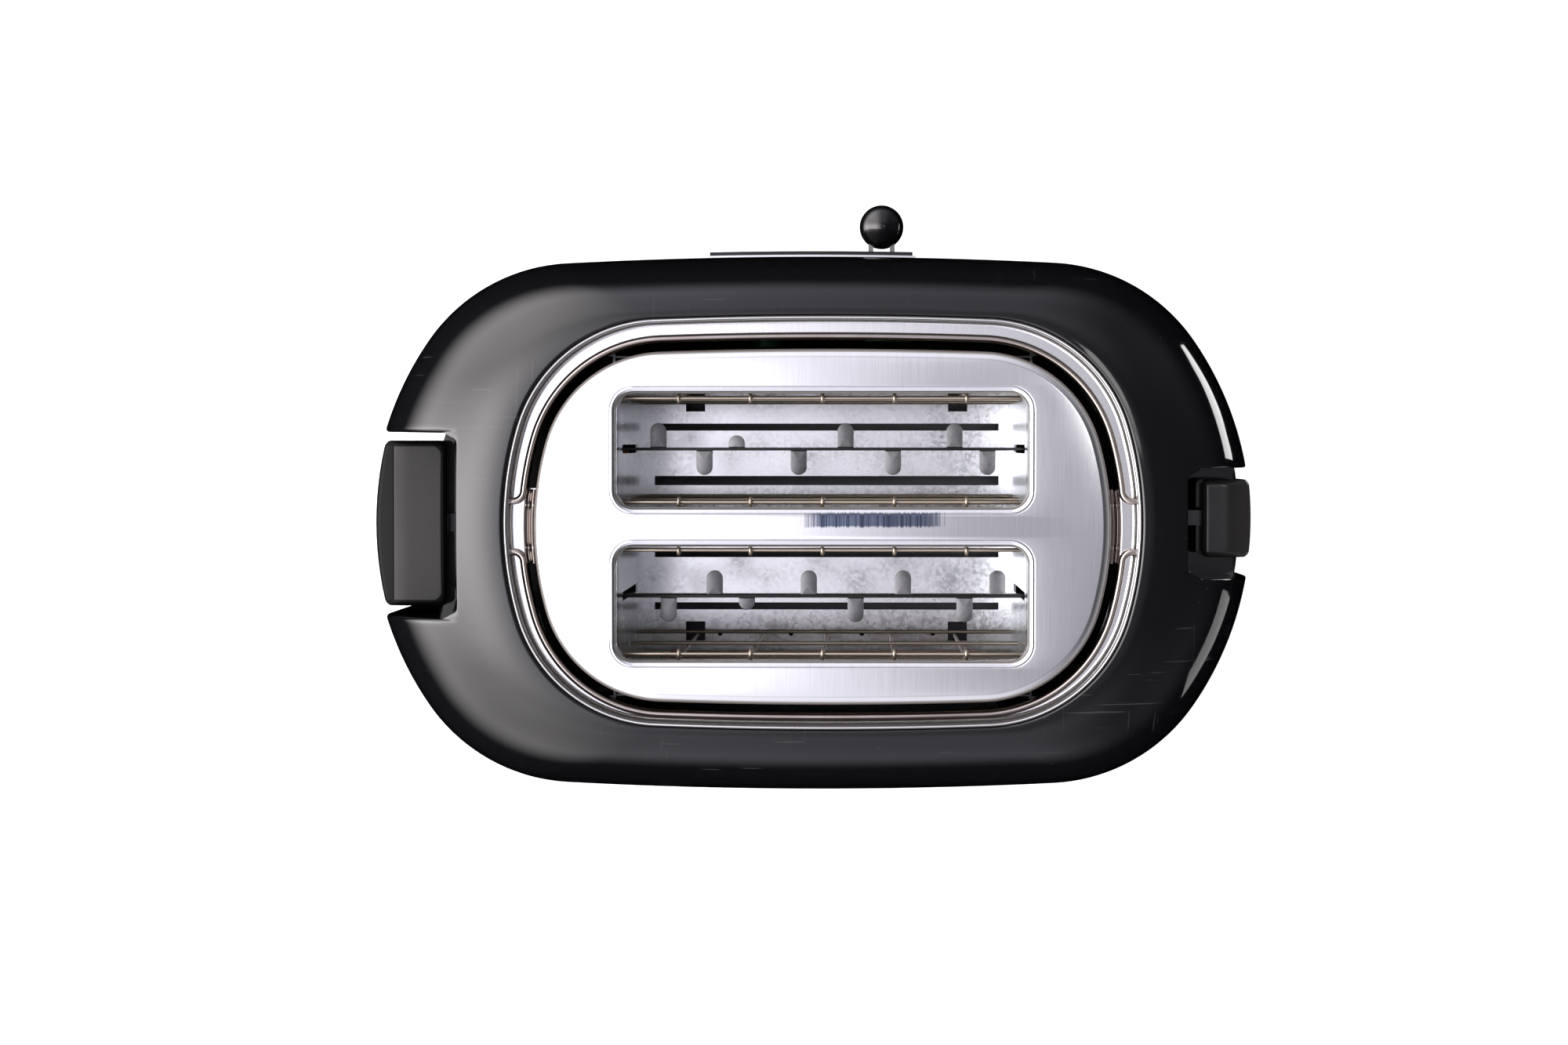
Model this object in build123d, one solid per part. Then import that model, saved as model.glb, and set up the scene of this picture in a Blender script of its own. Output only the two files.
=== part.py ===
from build123d import *
import os
from math import cos, degrees, radians, sin, sqrt

# Two-slot toaster with a folding bun rack. Lengths are millimetres, angles are degrees.
# The front, with the control panel, faces -Y; the bread lever is at +X, the rack lever at -X.
# The model is laid out about the middle of the toasting chamber and moved at the end,
# so that its origin is the middle of its footprint on the surface it stands on.


class Loaf:
    """A rounded outline seen from above: two side bows, two end bows and four corners."""

    def __init__(self, length, width, side_bow, end_bow, corner):
        self.length = length
        self.width = width
        self.side_bow = side_bow
        self.end_bow = end_bow
        self.corner = corner

    def grown(self, by):
        """The same outline, moved outwards evenly."""
        return Loaf(
            self.length + 2 * by,
            self.width + 2 * by,
            self.side_bow + by,
            self.end_bow + by,
            self.corner + by,
        )

    def blended(self, other, share):
        """An outline on the way from this one (share 0) to another (share 1)."""
        return Loaf(
            self.length + (other.length - self.length) * share,
            self.width + (other.width - self.width) * share,
            self.side_bow + (other.side_bow - self.side_bow) * share,
            self.end_bow + (other.end_bow - self.end_bow) * share,
            self.corner + (other.corner - self.corner) * share,
        )

    def marks(self):
        """Where the arcs meet and their middles, in the quarter of +X and +Y."""
        side_centre = Vector(0, self.width / 2 - self.side_bow)
        end_centre = Vector(self.length / 2 - self.end_bow, 0)
        side_reach = self.side_bow - self.corner
        end_reach = self.end_bow - self.corner
        apart = end_centre - side_centre
        along = (side_reach**2 - end_reach**2 + apart.length**2) / (2 * apart.length)
        across = sqrt(side_reach**2 - along**2)
        unit = apart.normalized()
        centre = side_centre + unit * along + Vector(unit.Y, -unit.X) * across
        side_end = side_centre + (centre - side_centre).normalized() * self.side_bow
        end_end = end_centre + (centre - end_centre).normalized() * self.end_bow
        middle = centre + ((side_end - centre) + (end_end - centre)).normalized() * self.corner
        return side_end, middle, end_end

    def arcs(self):
        """The eight arcs, in order round the outline."""
        a, m, b = self.marks()
        half_l = self.length / 2
        half_w = self.width / 2
        return [
            ThreePointArc((-a.X, a.Y), (0, half_w), (a.X, a.Y)),
            ThreePointArc((a.X, a.Y), (m.X, m.Y), (b.X, b.Y)),
            ThreePointArc((b.X, b.Y), (half_l, 0), (b.X, -b.Y)),
            ThreePointArc((b.X, -b.Y), (m.X, -m.Y), (a.X, -a.Y)),
            ThreePointArc((a.X, -a.Y), (0, -half_w), (-a.X, -a.Y)),
            ThreePointArc((-a.X, -a.Y), (-m.X, -m.Y), (-b.X, -b.Y)),
            ThreePointArc((-b.X, -b.Y), (-half_l, 0), (-b.X, b.Y)),
            ThreePointArc((-b.X, b.Y), (-m.X, m.Y), (-a.X, a.Y)),
        ]

    def face(self, z, y=0.0, x=0.0):
        """The filled outline at one height."""
        return Pos(x, y, z) * make_face(self.arcs()).face()


# Slot plate: two bread slots and the steel round them
slot_length = 134.0
slot_width = 38.5
slot_corner = 6.3
slot_pitch = 49.4
slot_hem = 1.6
plate_end = 26.1
plate_side = 13.45
plate_side_bow = 1500.0
plate_end_bow = 100.0
plate_corner = 40.0
plate_sheet = 0.9
plate_skirt = 9.0
plate_roll = 3.0
plate_set = 1.0

# Gutter round the plate, from its inner edge to the housing's opening
ring_gap = 3.0
ring_end = 9.8
ring_side = 9.4
ring_sheet = 1.1
ring_skirt = 2.9
ring_cove = 2.4
ring_fit = 0.2
ring_set = 0.3
ring_deep = 9.6
bridge_half = 12.0
bridge_under = 1.6

# Housing: shoulder from the opening out to the widest outline
opening_side_bow = 1400.0
opening_end_bow = 110.0
opening_corner = 48.5
shoulder_end = 44.1
shoulder_side = 22.2
shoulder_high = 50.0
shoulder_steps = 6
body_side_bow = 1600.0
body_end_bow = 107.0
body_corner = 60.0
wall = 2.6
rim_z = 186.0
skirt_z = 10.0
side_steps = 3
base_inset = 3.0
# The housing reaches further at the bread lever than at the rack lever, and its opening
# lies a little towards the front of the chamber
housing_x = 4.4
housing_y = -0.3
opening_y = -1.4
recess_corner = 5.0

# Gaps between pieces that move past each other, and how far a cutter passes a face
run_gap = 0.3
pin_fit = 0.08
overlap = 0.5
cut_past = 1.0

plate_length = slot_length + 2 * plate_end
plate_width = slot_pitch + slot_width + 2 * plate_side
opening_length = plate_length + 2 * ring_end
opening_width = plate_width + 2 * ring_side
body_length = opening_length + 2 * shoulder_end
body_width = opening_width + 2 * shoulder_side
past_all = body_length

plate = Loaf(plate_length, plate_width, plate_side_bow, plate_end_bow, plate_corner)
ring_inner = plate.grown(ring_gap)
opening = Loaf(opening_length, opening_width, opening_side_bow, opening_end_bow, opening_corner)
body = Loaf(body_length, body_width, body_side_bow, body_end_bow, body_corner)
widest_z = rim_z - shoulder_high
plate_z = rim_z - plate_set
ring_floor_z = rim_z - ring_deep
front_y = housing_y - body_width / 2
rear_y = housing_y + body_width / 2

# Bun rack: two wires in the gutter
rack_wire = 2.4
rack_wire_up = 1.5
rack_wire_out = 1.3
rack_pivot_y = 8.2
rack_bend = 3.4
rack_turn = 75.0
rack_wire_past = 1.6
rack_wire_z = ring_floor_z + rack_wire_up

# Rack lever, flush with the housing at -X, and its recess
rack_lever_deep = 16.6
rack_lever_width = 26.0
rack_lever_height = 23.0
rack_lever_drop = 42.0
rack_lever_aside = 1.7
rack_recess_gap = 8.3
rack_recess_side = 5.0
rack_recess_aside = 0.6
rack_recess_under = 15.0
rack_stem = 5.0
stem_side_gap = 1.0
stem_end_gap = 2.0

rack_lever_y = housing_y - rack_lever_aside
rack_recess_y = housing_y - rack_recess_aside
rack_lever_out = body_length / 2 - housing_x
rack_lever_in = rack_lever_out - rack_lever_deep
rack_lever_high = rim_z - rack_lever_drop
rack_lever_low = rack_lever_high - rack_lever_height
rack_recess_x = rack_lever_in - rack_recess_gap
rack_recess_width = rack_lever_width + 2 * rack_recess_side
rack_recess_z = rack_lever_low - rack_recess_under

# Rack drive: crank arms on both wires and a slide with two cam slots
crank_arm = 11.0
crank_thick = 2.0
crank_pin = 2.2
crank_clear = 1.4
cam_sheet = 1.2
cam_gap = 0.5
pin_past = 0.6
stack_gap = 0.4
cam_travel = 10.8
cam_fit = 0.35
cam_land = 0.8
cam_side = 1.6
cam_web = 6.0
cam_web_half = 5.0
cam_web_up = 18.0
cam_stem_down = 14.0
rack_rod = 2.8
rack_rod_over = 8.0
bracket_sheet = 1.2
bracket_half = 8.0
bracket_high = 13.0
bracket_clear = 1.2

front_crank_x = -opening_length / 2 - crank_clear
rear_crank_x = front_crank_x - crank_thick - cam_gap - cam_sheet - pin_past - stack_gap
cam_bottom_z = rack_lever_high - cam_stem_down
cam_web_z = cam_bottom_z + cam_web_up

# Bread lever and its recess
bread_lever_deep = 24.2
bread_lever_width = 55.2
bread_lever_height = 26.0
bread_lever_drop = 39.0
bread_lever_set = 1.6
bread_recess_gap = 7.5
bread_recess_side = 2.8
bread_recess_under = 6.0
lever_round = 2.0
pad_thick = 1.4
pad_set = 0.1
pad_inner_rim = 1.2
pad_outer_rim = 6.4
pad_side_rim = 1.4
pad_round = 4.0

bread_lever_out = body_length / 2 + housing_x - bread_lever_set
bread_lever_in = bread_lever_out - bread_lever_deep
bread_lever_high = rim_z - bread_lever_drop
bread_lever_low = bread_lever_high - bread_lever_height
bread_recess_x = bread_lever_in - bread_recess_gap
bread_recess_width = bread_lever_width + 2 * bread_recess_side
bread_recess_low = skirt_z - bread_recess_under

# Toasting chamber
chamber_sheet = 0.8
slot_clear = 0.2
chamber_in = 1.4
end_fold = 9.0
end_notch = 3.0
end_leg_half = 30.0
end_leg_high = 14.0
floor_z = 30.0
near_gap = 3.4
near_gap_y = 13.2
far_gap = 2.6
far_gap_y = 32.8
floor_gap_in = 4.2
floor_square = 7.0
floor_square_in = 19.2
floor_square_y = 42.0
floor_hole = 0.8
floor_hole_in = 28.2
floor_hole_y = 43.0
floor_holes = 4
reflector_in = 0.7
reflector_sheet = 0.6
reflector_drop = 4.0

chamber_half = slot_length / 2 + slot_clear
chamber_wide = plate_width / 2 - chamber_in
end_plate_top = plate_z - plate_skirt
end_fold_top = ring_floor_z - ring_skirt - run_gap
reflector_y = chamber_wide - reflector_in

# Heaters: mica boards and the ribbon laid on them
board_in = 7.0
board_sheet = 0.8
board_up = 6.0
board_drop = 8.0
ribbon_rows = 10
ribbon_wide = 1.5
ribbon_thick = 0.3
ribbon_in = 9.2
ribbon_margin = 10.0

board_y = chamber_wide - board_in
board_low = floor_z + board_up
board_high = end_plate_top - board_drop
ribbon_half = chamber_half - ribbon_in

# Bread guards
guard_wire = 1.3
guard_offset = 17.0
guard_up = 10.0
guard_mid_up = 71.0
guard_drop = 4.0
guard_clear = 0.8
guard_end = 1.0
guard_in = 19.6
guard_count = 5
guard_sides = 8
guard_weld = 0.325

guard_low = floor_z + guard_up
guard_mid = guard_low + guard_mid_up
guard_top = end_plate_top - guard_drop
guard_half = chamber_half - guard_clear
guard_pitch = 2 * (guard_half - guard_in) / (guard_count - 1)

# Bread carriage: bars with tabs, yoke, arm and the rod that it slides on
bread_travel = 62.0
bar_drop = 49.0
bar_height = 12.0
bar_sheet = 1.0
bar_slot = 3.0
bar_slot_under = 2.0
bar_slot_over = 4.0
tab_sheet = 0.8
tab_width = 5.4
tab_reach = 8.7
tab_short = 4.6
tab_rear_shift = 3.4
even_tab_in = 27.3
even_tab_end = 12.3
wide_tab_in = 11.8
short_tab_in = 38.1
wide_tab_end = 23.3
yoke_out = 6.0
yoke_sheet = 1.5
yoke_over = 8.0
yoke_high = 27.0
slider_high = 18.0
hub_half = 7.0
hub_past = 8.0
hub_step = 2.0
arm_width = 6.0
arm_high = 12.0
arm_side_gap = 1.2
arm_drop = 1.0
rod = 6.0
rod_out = 14.0
rod_fit = 0.08
rod_seat_wall = 2.5
rod_seat_high = 6.0

bar_top_z = rim_z - bar_drop
yoke_x = chamber_half + chamber_sheet + yoke_out
yoke_low = bar_top_z - yoke_high
rod_x = yoke_x + rod_out
arm_top_z = bar_top_z - arm_drop
arm_low_z = arm_top_z - arm_high

# Magnet under the carriage, spring and top bracket
magnet_out = 7.0
magnet_aside = 16.0
armature_half = 5.0
armature_side = 5.5
armature_thick = 4.0
core_half = 7.0
core_side = 2.0
core_foot_side = 8.0
core_foot_high = 3.0
coil_half = 8.5
coil_side = 7.0
coil_round = 3.0
pole_high = 6.0
spring_out = 15.0
spring_radius = 4.0
spring_bore = 2.8
spring_plug = 3.0
mech_drop = 4.0
mech_past = 22.0
mech_side = 12.0
mech_sheet = 2.0
mech_flange = 1.5
mech_flange_high = 14.0

magnet_x = yoke_x + magnet_out
magnet_y = housing_y - magnet_aside
spring_x = rod_x + spring_out
mech_top = end_plate_top - mech_drop

# Base and feet
foot_radius = 9.0
foot_end = 49.0
foot_side = 31.0
foot_chamfer = 0.8
foot_step = 2.0
foot_plug = 1.0
base_z = 4.0
base_sheet = 3.0
plinth_in = 1.5
lip_high = 6.0
lip_fit = 0.7
lip_sheet = 2.2
lip_back = 6.0
screw_out = 5.0
screw_y = 44.0
screw_radius = 3.5
screw_high = 1.6

base_top = base_z + base_sheet
lip_z = skirt_z + lip_high

# Crumb tray and its window in the rear wall
tray_in = 3.7
tray_side = 2.0
tray_rear = 11.0
tray_low = 11.5
tray_high = 21.0
tray_sheet = 0.8
tray_front_over = 5.5
tray_front_low = 10.4
tray_front_high = 24.0
window_fit = 0.4
window_deep = 18.0
rail_in = 2.0
rail_half = 1.0
rail_short = 8.0
rail_start = 4.0

tray_half = chamber_half - tray_in
tray_y = chamber_wide - tray_side
tray_back = body_width / 2 - tray_rear
tray_front_half = tray_half + tray_front_over

# Control panel, browning slide and buttons
panel_past = 3.3
panel_low = 38.0
panel_high = 118.0
panel_proud = 3.1
panel_deep = 8.0
bezel_proud = 1.8
bezel_edge = 1.0
slide_z = 79.0
slide_half = 31.2
slide_high = 5.2
knob_in = 7.0
knob_out = 13.5
knob_radius = 7.7
leg_apart = 3.75
leg_wide = 1.7
leg_high = 4.0
button_z = 57.0
button_pitch = 20.0
button_radius = 5.0
button_fit = 0.3
button_proud = 0.4
button_chamfer = 0.4
button_seat = 0.6
button_flange = 6.4
button_flange_thick = 1.4
button_travel = 1.5
plunger_radius = 2.0

panel_half = slide_half + panel_past
knob_x = knob_in - slide_half

# Circuit board, its bosses and what it carries
control_deep = 13.7
control_sheet = 1.6
control_past = 5.5
control_low = 42.0
control_high = 112.0
boss_radius = 3.0
boss_edge = 1.0
switch_half = 3.0
switch_deep = 2.0
relay_in = 5.6
relay_drop = 6.0
relay_size = 16.0
relay_deep = 12.0
capacitor_in = 24.4
capacitor_drop = 14.0
capacitor_radius = 5.0
capacitor_long = 14.0
pot_end = 4.0
pot_deep = 6.4
pot_high = 8.0
groove_deep = 3.0
groove_half = 1.2
wiper_half = 6.0
wiper_thick = 2.0
wiper_high = 6.0
brush_half = 2.0
brush_long = 2.6
brush_high = 2.0

control_half = panel_half + control_past
board_front = front_y + control_deep

# Cord gland, in the rear wall
gland_in = 63.0
gland_z = 30.0
gland_radius = 6.5
gland_fit = 0.05
gland_bore = 3.7
gland_flange = 8.5
gland_proud = 0.9
gland_deep = 12.0

gland_x = body_length / 2 - gland_in


def bar(x0, x1, y0, y1, z0, z1):
    """A block between two corners."""
    size = (abs(x1 - x0), abs(y1 - y0), abs(z1 - z0))
    return Pos((x0 + x1) / 2, (y0 + y1) / 2, (z0 + z1) / 2) * Box(*size)


def round_bar(start, end, radius):
    """A round bar from one point to another."""
    axis = Vector(*end) - Vector(*start)
    plane = Plane(origin=start, z_dir=axis)
    return plane * Cylinder(radius, axis.length, align=(Align.CENTER, Align.CENTER, Align.MIN))


def prism(outline, low, high, y=0.0, x=0.0):
    """An outline carried straight up between two heights."""
    return extrude(outline.face(low, y, x), amount=high - low, dir=(0, 0, 1))


def vertical_edges(solid):
    return solid.edges().filter_by(Axis.Z)


def upright(x, y, z, radius, high):
    """A vertical cylinder that stands on a point."""
    return Pos(x, y, z) * Cylinder(radius, high, align=(Align.CENTER, Align.CENTER, Align.MIN))


def inset_at(z):
    """How far the wall has drawn in below the widest height, as a parabola."""
    return base_inset * ((widest_z - z) / (widest_z - skirt_z)) ** 2


def body_solid(grow, low=skirt_z):
    """The loaf form: a side wall that draws in towards the base and an elliptic shoulder."""
    side = []
    for step in range(side_steps + 1):
        z = low + (widest_z - low) * step / side_steps
        side.append(body.grown(grow - inset_at(z)).face(z, housing_y, housing_x))
    shoulder = []
    for step in range(shoulder_steps + 1):
        angle = radians(90.0 * step / shoulder_steps)
        share = 1 - cos(angle)
        outline = body.blended(opening, share).grown(grow)
        z = widest_z + (shoulder_high + grow) * sin(angle)
        y = housing_y + (opening_y - housing_y) * share
        shoulder.append(outline.face(z, y, housing_x * (1 - share)))
    return loft(side) + loft(shoulder)


def recess(x_inner, side, width, y, low, grow=0.0):
    """The space that an end lever moves in, with rounded inner corners."""
    half = width / 2 + grow
    block = bar(side * (x_inner - grow), side * past_all, y - half, y + half, low - grow, past_all)
    inner = vertical_edges(block).group_by(Axis.X)[0 if side > 0 else -1]
    return fillet(inner, recess_corner + grow)


outer_form = body_solid(0.0)
inner_form = body_solid(-wall, skirt_z - wall)


def tray_window():
    """The cut in the rear wall that the tray passes."""
    half = tray_front_half + window_fit
    top = tray_front_high + window_fit
    return bar(-half, half, tray_back - window_deep, past_all, skirt_z - cut_past, top)


def make_housing_shell():
    """A thin moulding: loaf form, opening, two lever recesses, window for the tray."""
    shell = outer_form - inner_form
    bread = (bread_recess_x, 1, bread_recess_width, housing_y, bread_recess_low)
    rack = (rack_recess_x, -1, rack_recess_width, rack_recess_y, rack_recess_z)
    for place in (bread, rack):
        shell += recess(*place, grow=wall) & outer_form
    for place in (bread, rack):
        shell -= recess(*place)
    shell -= prism(opening, rim_z - shoulder_high / 2, rim_z + cut_past, opening_y)
    # Slots in the recess walls, for the arm of the bread lever and the stem of the rack lever
    side = arm_width / 2 + arm_side_gap
    shell -= bar(
        bread_recess_x - wall - cut_past,
        bread_recess_x + cut_past,
        housing_y - side,
        housing_y + side,
        arm_low_z - bread_travel - cut_past,
        arm_top_z + stem_end_gap,
    )
    side = rack_stem / 2 + stem_side_gap
    shell -= bar(
        -rack_recess_x - cut_past,
        -rack_recess_x + wall + cut_past,
        rack_lever_y - side,
        rack_lever_y + side,
        cam_bottom_z - cam_travel - cut_past,
        cam_bottom_z + rack_stem + stem_end_gap,
    )
    # Openings behind the control panel
    shell -= slide_cut()
    for column in (-1, 0, 1):
        shell -= panel_bore(column)
    # Window of the crumb tray and hole of the cord gland
    shell -= tray_window()
    shell -= gland_bar(gland_radius + gland_fit, rear_y - panel_deep, rear_y + cut_past)
    # Bosses that carry the circuit board
    inset = boss_radius + boss_edge
    for x in (housing_x - control_half + inset, housing_x + control_half - inset):
        for z in (control_low + inset, control_high - inset):
            boss = round_bar((x, board_front, z), (x, front_y + cut_past, z), boss_radius)
            shell += boss & outer_form
    return shell


def foot_places():
    x_reach = body_length / 2 - foot_end
    y_reach = body_width / 2 - foot_side
    return [(housing_x + x, housing_y + y) for x in (-x_reach, x_reach) for y in (-y_reach, y_reach)]


def make_base_pan():
    """A shallow black pan: floor, plinth, a lip inside the housing, rod seat and tray rails."""
    skirt = body.grown(-inset_at(skirt_z))
    lip = skirt.grown(-wall - lip_fit)
    pan = prism(skirt.grown(-plinth_in), base_z, skirt_z - run_gap, housing_y, housing_x)
    pan += prism(lip, skirt_z - cut_past, lip_z, housing_y, housing_x)
    pan -= prism(lip.grown(-lip_sheet), base_top, lip_z + cut_past, housing_y, housing_x)
    # The lip stops at the recess of the bread lever and at the tray
    half = bread_recess_width / 2 + wall + run_gap
    back = bread_recess_x - wall - lip_back
    pan -= bar(back, past_all, housing_y - half, housing_y + half, skirt_z - run_gap, past_all)
    half = tray_front_half + window_fit
    pan -= bar(-half, half, tray_back - window_deep, past_all, skirt_z - run_gap, past_all)
    for side in (-1, 1):
        x = side * (tray_half - rail_in)
        y0 = rail_start - tray_y
        pan += bar(
            x - rail_half, x + rail_half, y0, tray_back - rail_short, base_top - overlap, tray_low - run_gap
        )
    pan += upright(rod_x, housing_y, base_top - overlap, rod / 2 + rod_seat_wall, rod_seat_high)
    pan -= upright(rod_x, housing_y, base_top, rod / 2, rod_seat_high)
    for x, y in foot_places():
        pan -= upright(x, y, base_z - cut_past, foot_radius - foot_step, foot_plug + cut_past)
    return pan


def make_rubber_feet():
    """Four discs with a plug that enters the base."""
    feet = []
    for x, y in foot_places():
        disc = upright(x, y, 0, foot_radius, base_z)
        disc = chamfer(disc.edges().group_by(Axis.Z)[0], foot_chamfer)
        feet.append(disc + upright(x, y, base_z, foot_radius - foot_step, foot_plug))
    return feet


def make_chrome_ring():
    """A gutter of bright sheet: outer skirt, coved floor, inner skirt, two bridges to the plate."""
    outer = opening.grown(-ring_fit)
    inside = outer.grown(-ring_sheet)
    low = ring_floor_z - ring_skirt
    ring = prism(outer, low, rim_z - ring_set, opening_y)
    gutter = prism(inside, ring_floor_z, rim_z, opening_y)
    ring -= fillet(gutter.edges().group_by(Axis.Z)[0], ring_cove)
    under = prism(inside, low - cut_past, ring_floor_z - ring_sheet, opening_y)
    ring -= under - prism(ring_inner.grown(ring_sheet), low - cut_past, ring_floor_z)
    ring -= prism(ring_inner, low - cut_past, rim_z)
    # Bridges, which carry the plate's skirt at both ends
    bridge = prism(ring_inner.grown(ring_fit), end_plate_top - ring_sheet, end_plate_top)
    bridge -= prism(plate.grown(-bridge_under), low, rim_z)
    bridge &= bar(-past_all, past_all, -bridge_half, bridge_half, low, rim_z)
    ring += bridge
    # Pivot holes of the rack wires
    for y in (-rack_pivot_y, rack_pivot_y):
        ring -= round_bar((-past_all, y, rack_wire_z), (past_all, y, rack_wire_z), rack_wire / 2 + pin_fit)
    return ring


def plate_block(inset):
    """The plate's outer form, drawn in evenly on all sides and below its top."""
    low = end_plate_top - inset
    block = prism(plate.grown(-inset), low, plate_z - inset)
    for side in (-1, 1):
        slot = RectangleRounded(slot_length + 2 * inset, slot_width + 2 * inset, slot_corner + inset)
        block -= extrude(Pos(0, side * slot_pitch / 2, low - cut_past) * slot, amount=past_all)
    top_face = block.faces().sort_by(Axis.Z)[-1]
    block = fillet(top_face.outer_wire().edges(), plate_roll - inset)
    top_face = block.faces().sort_by(Axis.Z)[-1]
    rims = [edge for wire in top_face.inner_wires() for edge in wire.edges()]
    return fillet(rims, slot_hem + inset)


def make_top_plate():
    """Bright sheet with a rolled edge and two slots whose edges are drawn down."""
    return plate_block(0) - plate_block(plate_sheet)


def crank_x(side):
    return front_crank_x if side < 0 else rear_crank_x


def cam_x(side):
    """Middle of the cam sheet that takes one crank pin."""
    return crank_x(side) - crank_thick / 2 - cam_gap - cam_sheet / 2


def rack_path(near_x):
    """The path of the front rack wire: axle, bend, round the ring, bend, axle."""
    outline = ring_inner.grown(rack_wire_out)
    a, m, b = outline.marks()
    centre_x = outline.length / 2 - outline.end_bow
    pivot = rack_pivot_y
    start_y = pivot + rack_bend

    def bow_x(y):
        return centre_x + sqrt(outline.end_bow**2 - y**2)

    start_x = bow_x(start_y)
    mid_y = (start_y + b.Y) / 2
    bend_x = start_x + rack_bend
    diagonal = rack_bend * sqrt(0.5)
    far_x = opening_length / 2 + rack_wire_past

    def point(x, y):
        return (x, -y, rack_wire_z)

    def end_bend(way):
        middle = point(way * (bend_x - diagonal), start_y - diagonal)
        return point(way * bend_x, pivot), middle, point(way * start_x, start_y)

    def end_bow(way):
        return point(way * start_x, start_y), point(way * bow_x(mid_y), mid_y), point(way * b.X, b.Y)

    def corner(way):
        return point(way * b.X, b.Y), point(way * m.X, m.Y), point(way * a.X, a.Y)

    return [
        Line(point(near_x, pivot), point(-bend_x, pivot)),
        ThreePointArc(*end_bend(-1)),
        ThreePointArc(*end_bow(-1)),
        ThreePointArc(*corner(-1)),
        ThreePointArc(point(-a.X, a.Y), point(0, outline.width / 2), point(a.X, a.Y)),
        ThreePointArc(*reversed(corner(1))),
        ThreePointArc(*reversed(end_bow(1))),
        ThreePointArc(*reversed(end_bend(1))),
        Line(point(bend_x, pivot), point(far_x, pivot)),
    ]


def drawn_wire(path, radius):
    """Round wire along level lines and arcs; each arc is a turn about its own middle."""
    wire = None
    for edge in path:
        if edge.geom_type == GeomType.LINE:
            part = round_bar(edge @ 0, edge @ 1, radius)
        else:
            start = edge @ 0
            along = edge % 0
            section = Plane(origin=start, z_dir=along) * Circle(radius)
            way = 1 if (start - edge.arc_center).cross(along).Z > 0 else -1
            turn = degrees(edge.length / edge.radius)
            part = revolve(section, Axis(edge.arc_center, (0, 0, way)), turn)
        wire = part if wire is None else wire + part
    return wire


def make_rack_wire(side):
    """One C-shaped wire with its crank arm and pin; side is -1 at the front, 1 at the rear."""
    x = crank_x(side)
    wire = drawn_wire(rack_path(x + crank_thick / 2), rack_wire / 2)
    if side > 0:
        wire = mirror(wire, Plane.XZ)
    y0 = side * rack_pivot_y
    y1 = y0 - side * crank_arm
    plane = Plane(origin=(x - crank_thick / 2, (y0 + y1) / 2, rack_wire_z), x_dir=(0, 1, 0), z_dir=(1, 0, 0))
    arm = extrude(plane * SlotCenterToCenter(crank_arm, rack_wire), amount=crank_thick)
    pin_end = cam_x(side) - cam_sheet / 2 - pin_past
    return wire + arm + round_bar((x, y1, rack_wire_z), (pin_end, y1, rack_wire_z), crank_pin / 2)


def cam_point(side, share):
    """Where the crank pin lies in the slide after a share of the turn."""
    angle = radians(rack_turn * share)
    y = side * rack_pivot_y - side * crank_arm * cos(angle)
    z = rack_wire_z - crank_arm * sin(angle) + cam_travel * share
    return (y, z)


def make_rack_cam():
    """The slide: two sheets, each with a curved slot for one crank pin, a web and a stem."""
    slot_half = crank_pin / 2 + cam_fit
    cam = None
    for side in (-1, 1):
        points = [cam_point(side, quarter / 4) for quarter in range(5)]
        top = max(z for _, z in points) + slot_half + cam_land
        low_y = min(y for y, _ in points) - slot_half - cam_side
        high_y = max(y for y, _ in points) + slot_half + cam_side
        x = cam_x(side)
        low = cam_web_z if side < 0 else cam_bottom_z
        sheet = bar(x - cam_sheet / 2, x + cam_sheet / 2, low_y, high_y, low, top)
        plane = Plane(origin=(x - cam_sheet, 0, 0), x_dir=(0, 1, 0), z_dir=(1, 0, 0))
        line = ThreePointArc(*points[0:3]) + ThreePointArc(*points[2:5])
        sheet -= extrude(plane * trace(line, 2 * slot_half), amount=2 * cam_sheet)
        for end in (points[0], points[4]):
            sheet -= round_bar((x - cam_sheet, *end), (x + cam_sheet, *end), slot_half)
        cam = sheet if cam is None else cam + sheet
    front = cam_x(-1) + cam_sheet / 2
    back = cam_x(1) - cam_sheet / 2
    web_top = cam_web_z + cam_web
    cam += bar(back, front, -cam_web_half, cam_web_half, cam_web_z, web_top)
    at = rack_rod_x()
    cam -= round_bar((at, 0, cam_web_z - cut_past), (at, 0, web_top + cut_past), rack_rod / 2 + pin_fit)
    half = rack_stem / 2
    stem_end = back + cam_sheet / 2
    stem_y = (rack_lever_y - half, rack_lever_y + half)
    return cam + bar(-rack_lever_in, stem_end, *stem_y, cam_bottom_z, cam_bottom_z + rack_stem)


def rack_rod_x():
    return (cam_x(-1) + cam_x(1)) / 2


def make_rack_bracket():
    """A ledge on the inner side of the rack recess, with the rod that the slide runs on."""
    face = -rack_recess_x + wall
    top = cam_bottom_z - cam_travel - bracket_clear
    at = rack_rod_x()
    side = (rack_recess_y - bracket_half, rack_recess_y + bracket_half)
    bracket = bar(face, face + bracket_sheet, *side, top - bracket_high, top)
    bracket += bar(face, at + rack_rod, -cam_web_half, cam_web_half, top - bracket_sheet, top)
    rod_top = cam_web_z + cam_web + rack_rod_over
    return bracket + round_bar((at, 0, top - overlap), (at, 0, rod_top), rack_rod / 2)


def lever_block(side, x_in, x_out, width, y, low, high):
    """An end lever, whose outer face follows the bow of the housing."""
    bow = body.grown(x_out - side * housing_x - body_length / 2)
    block = prism(bow, low, high, housing_y, housing_x)
    block &= bar(side * x_in, side * past_all, y - width / 2, y + width / 2, low, high)
    rims = block.edges().group_by(Axis.Z)
    return fillet(rims[-1] + rims[0], lever_round)


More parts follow.
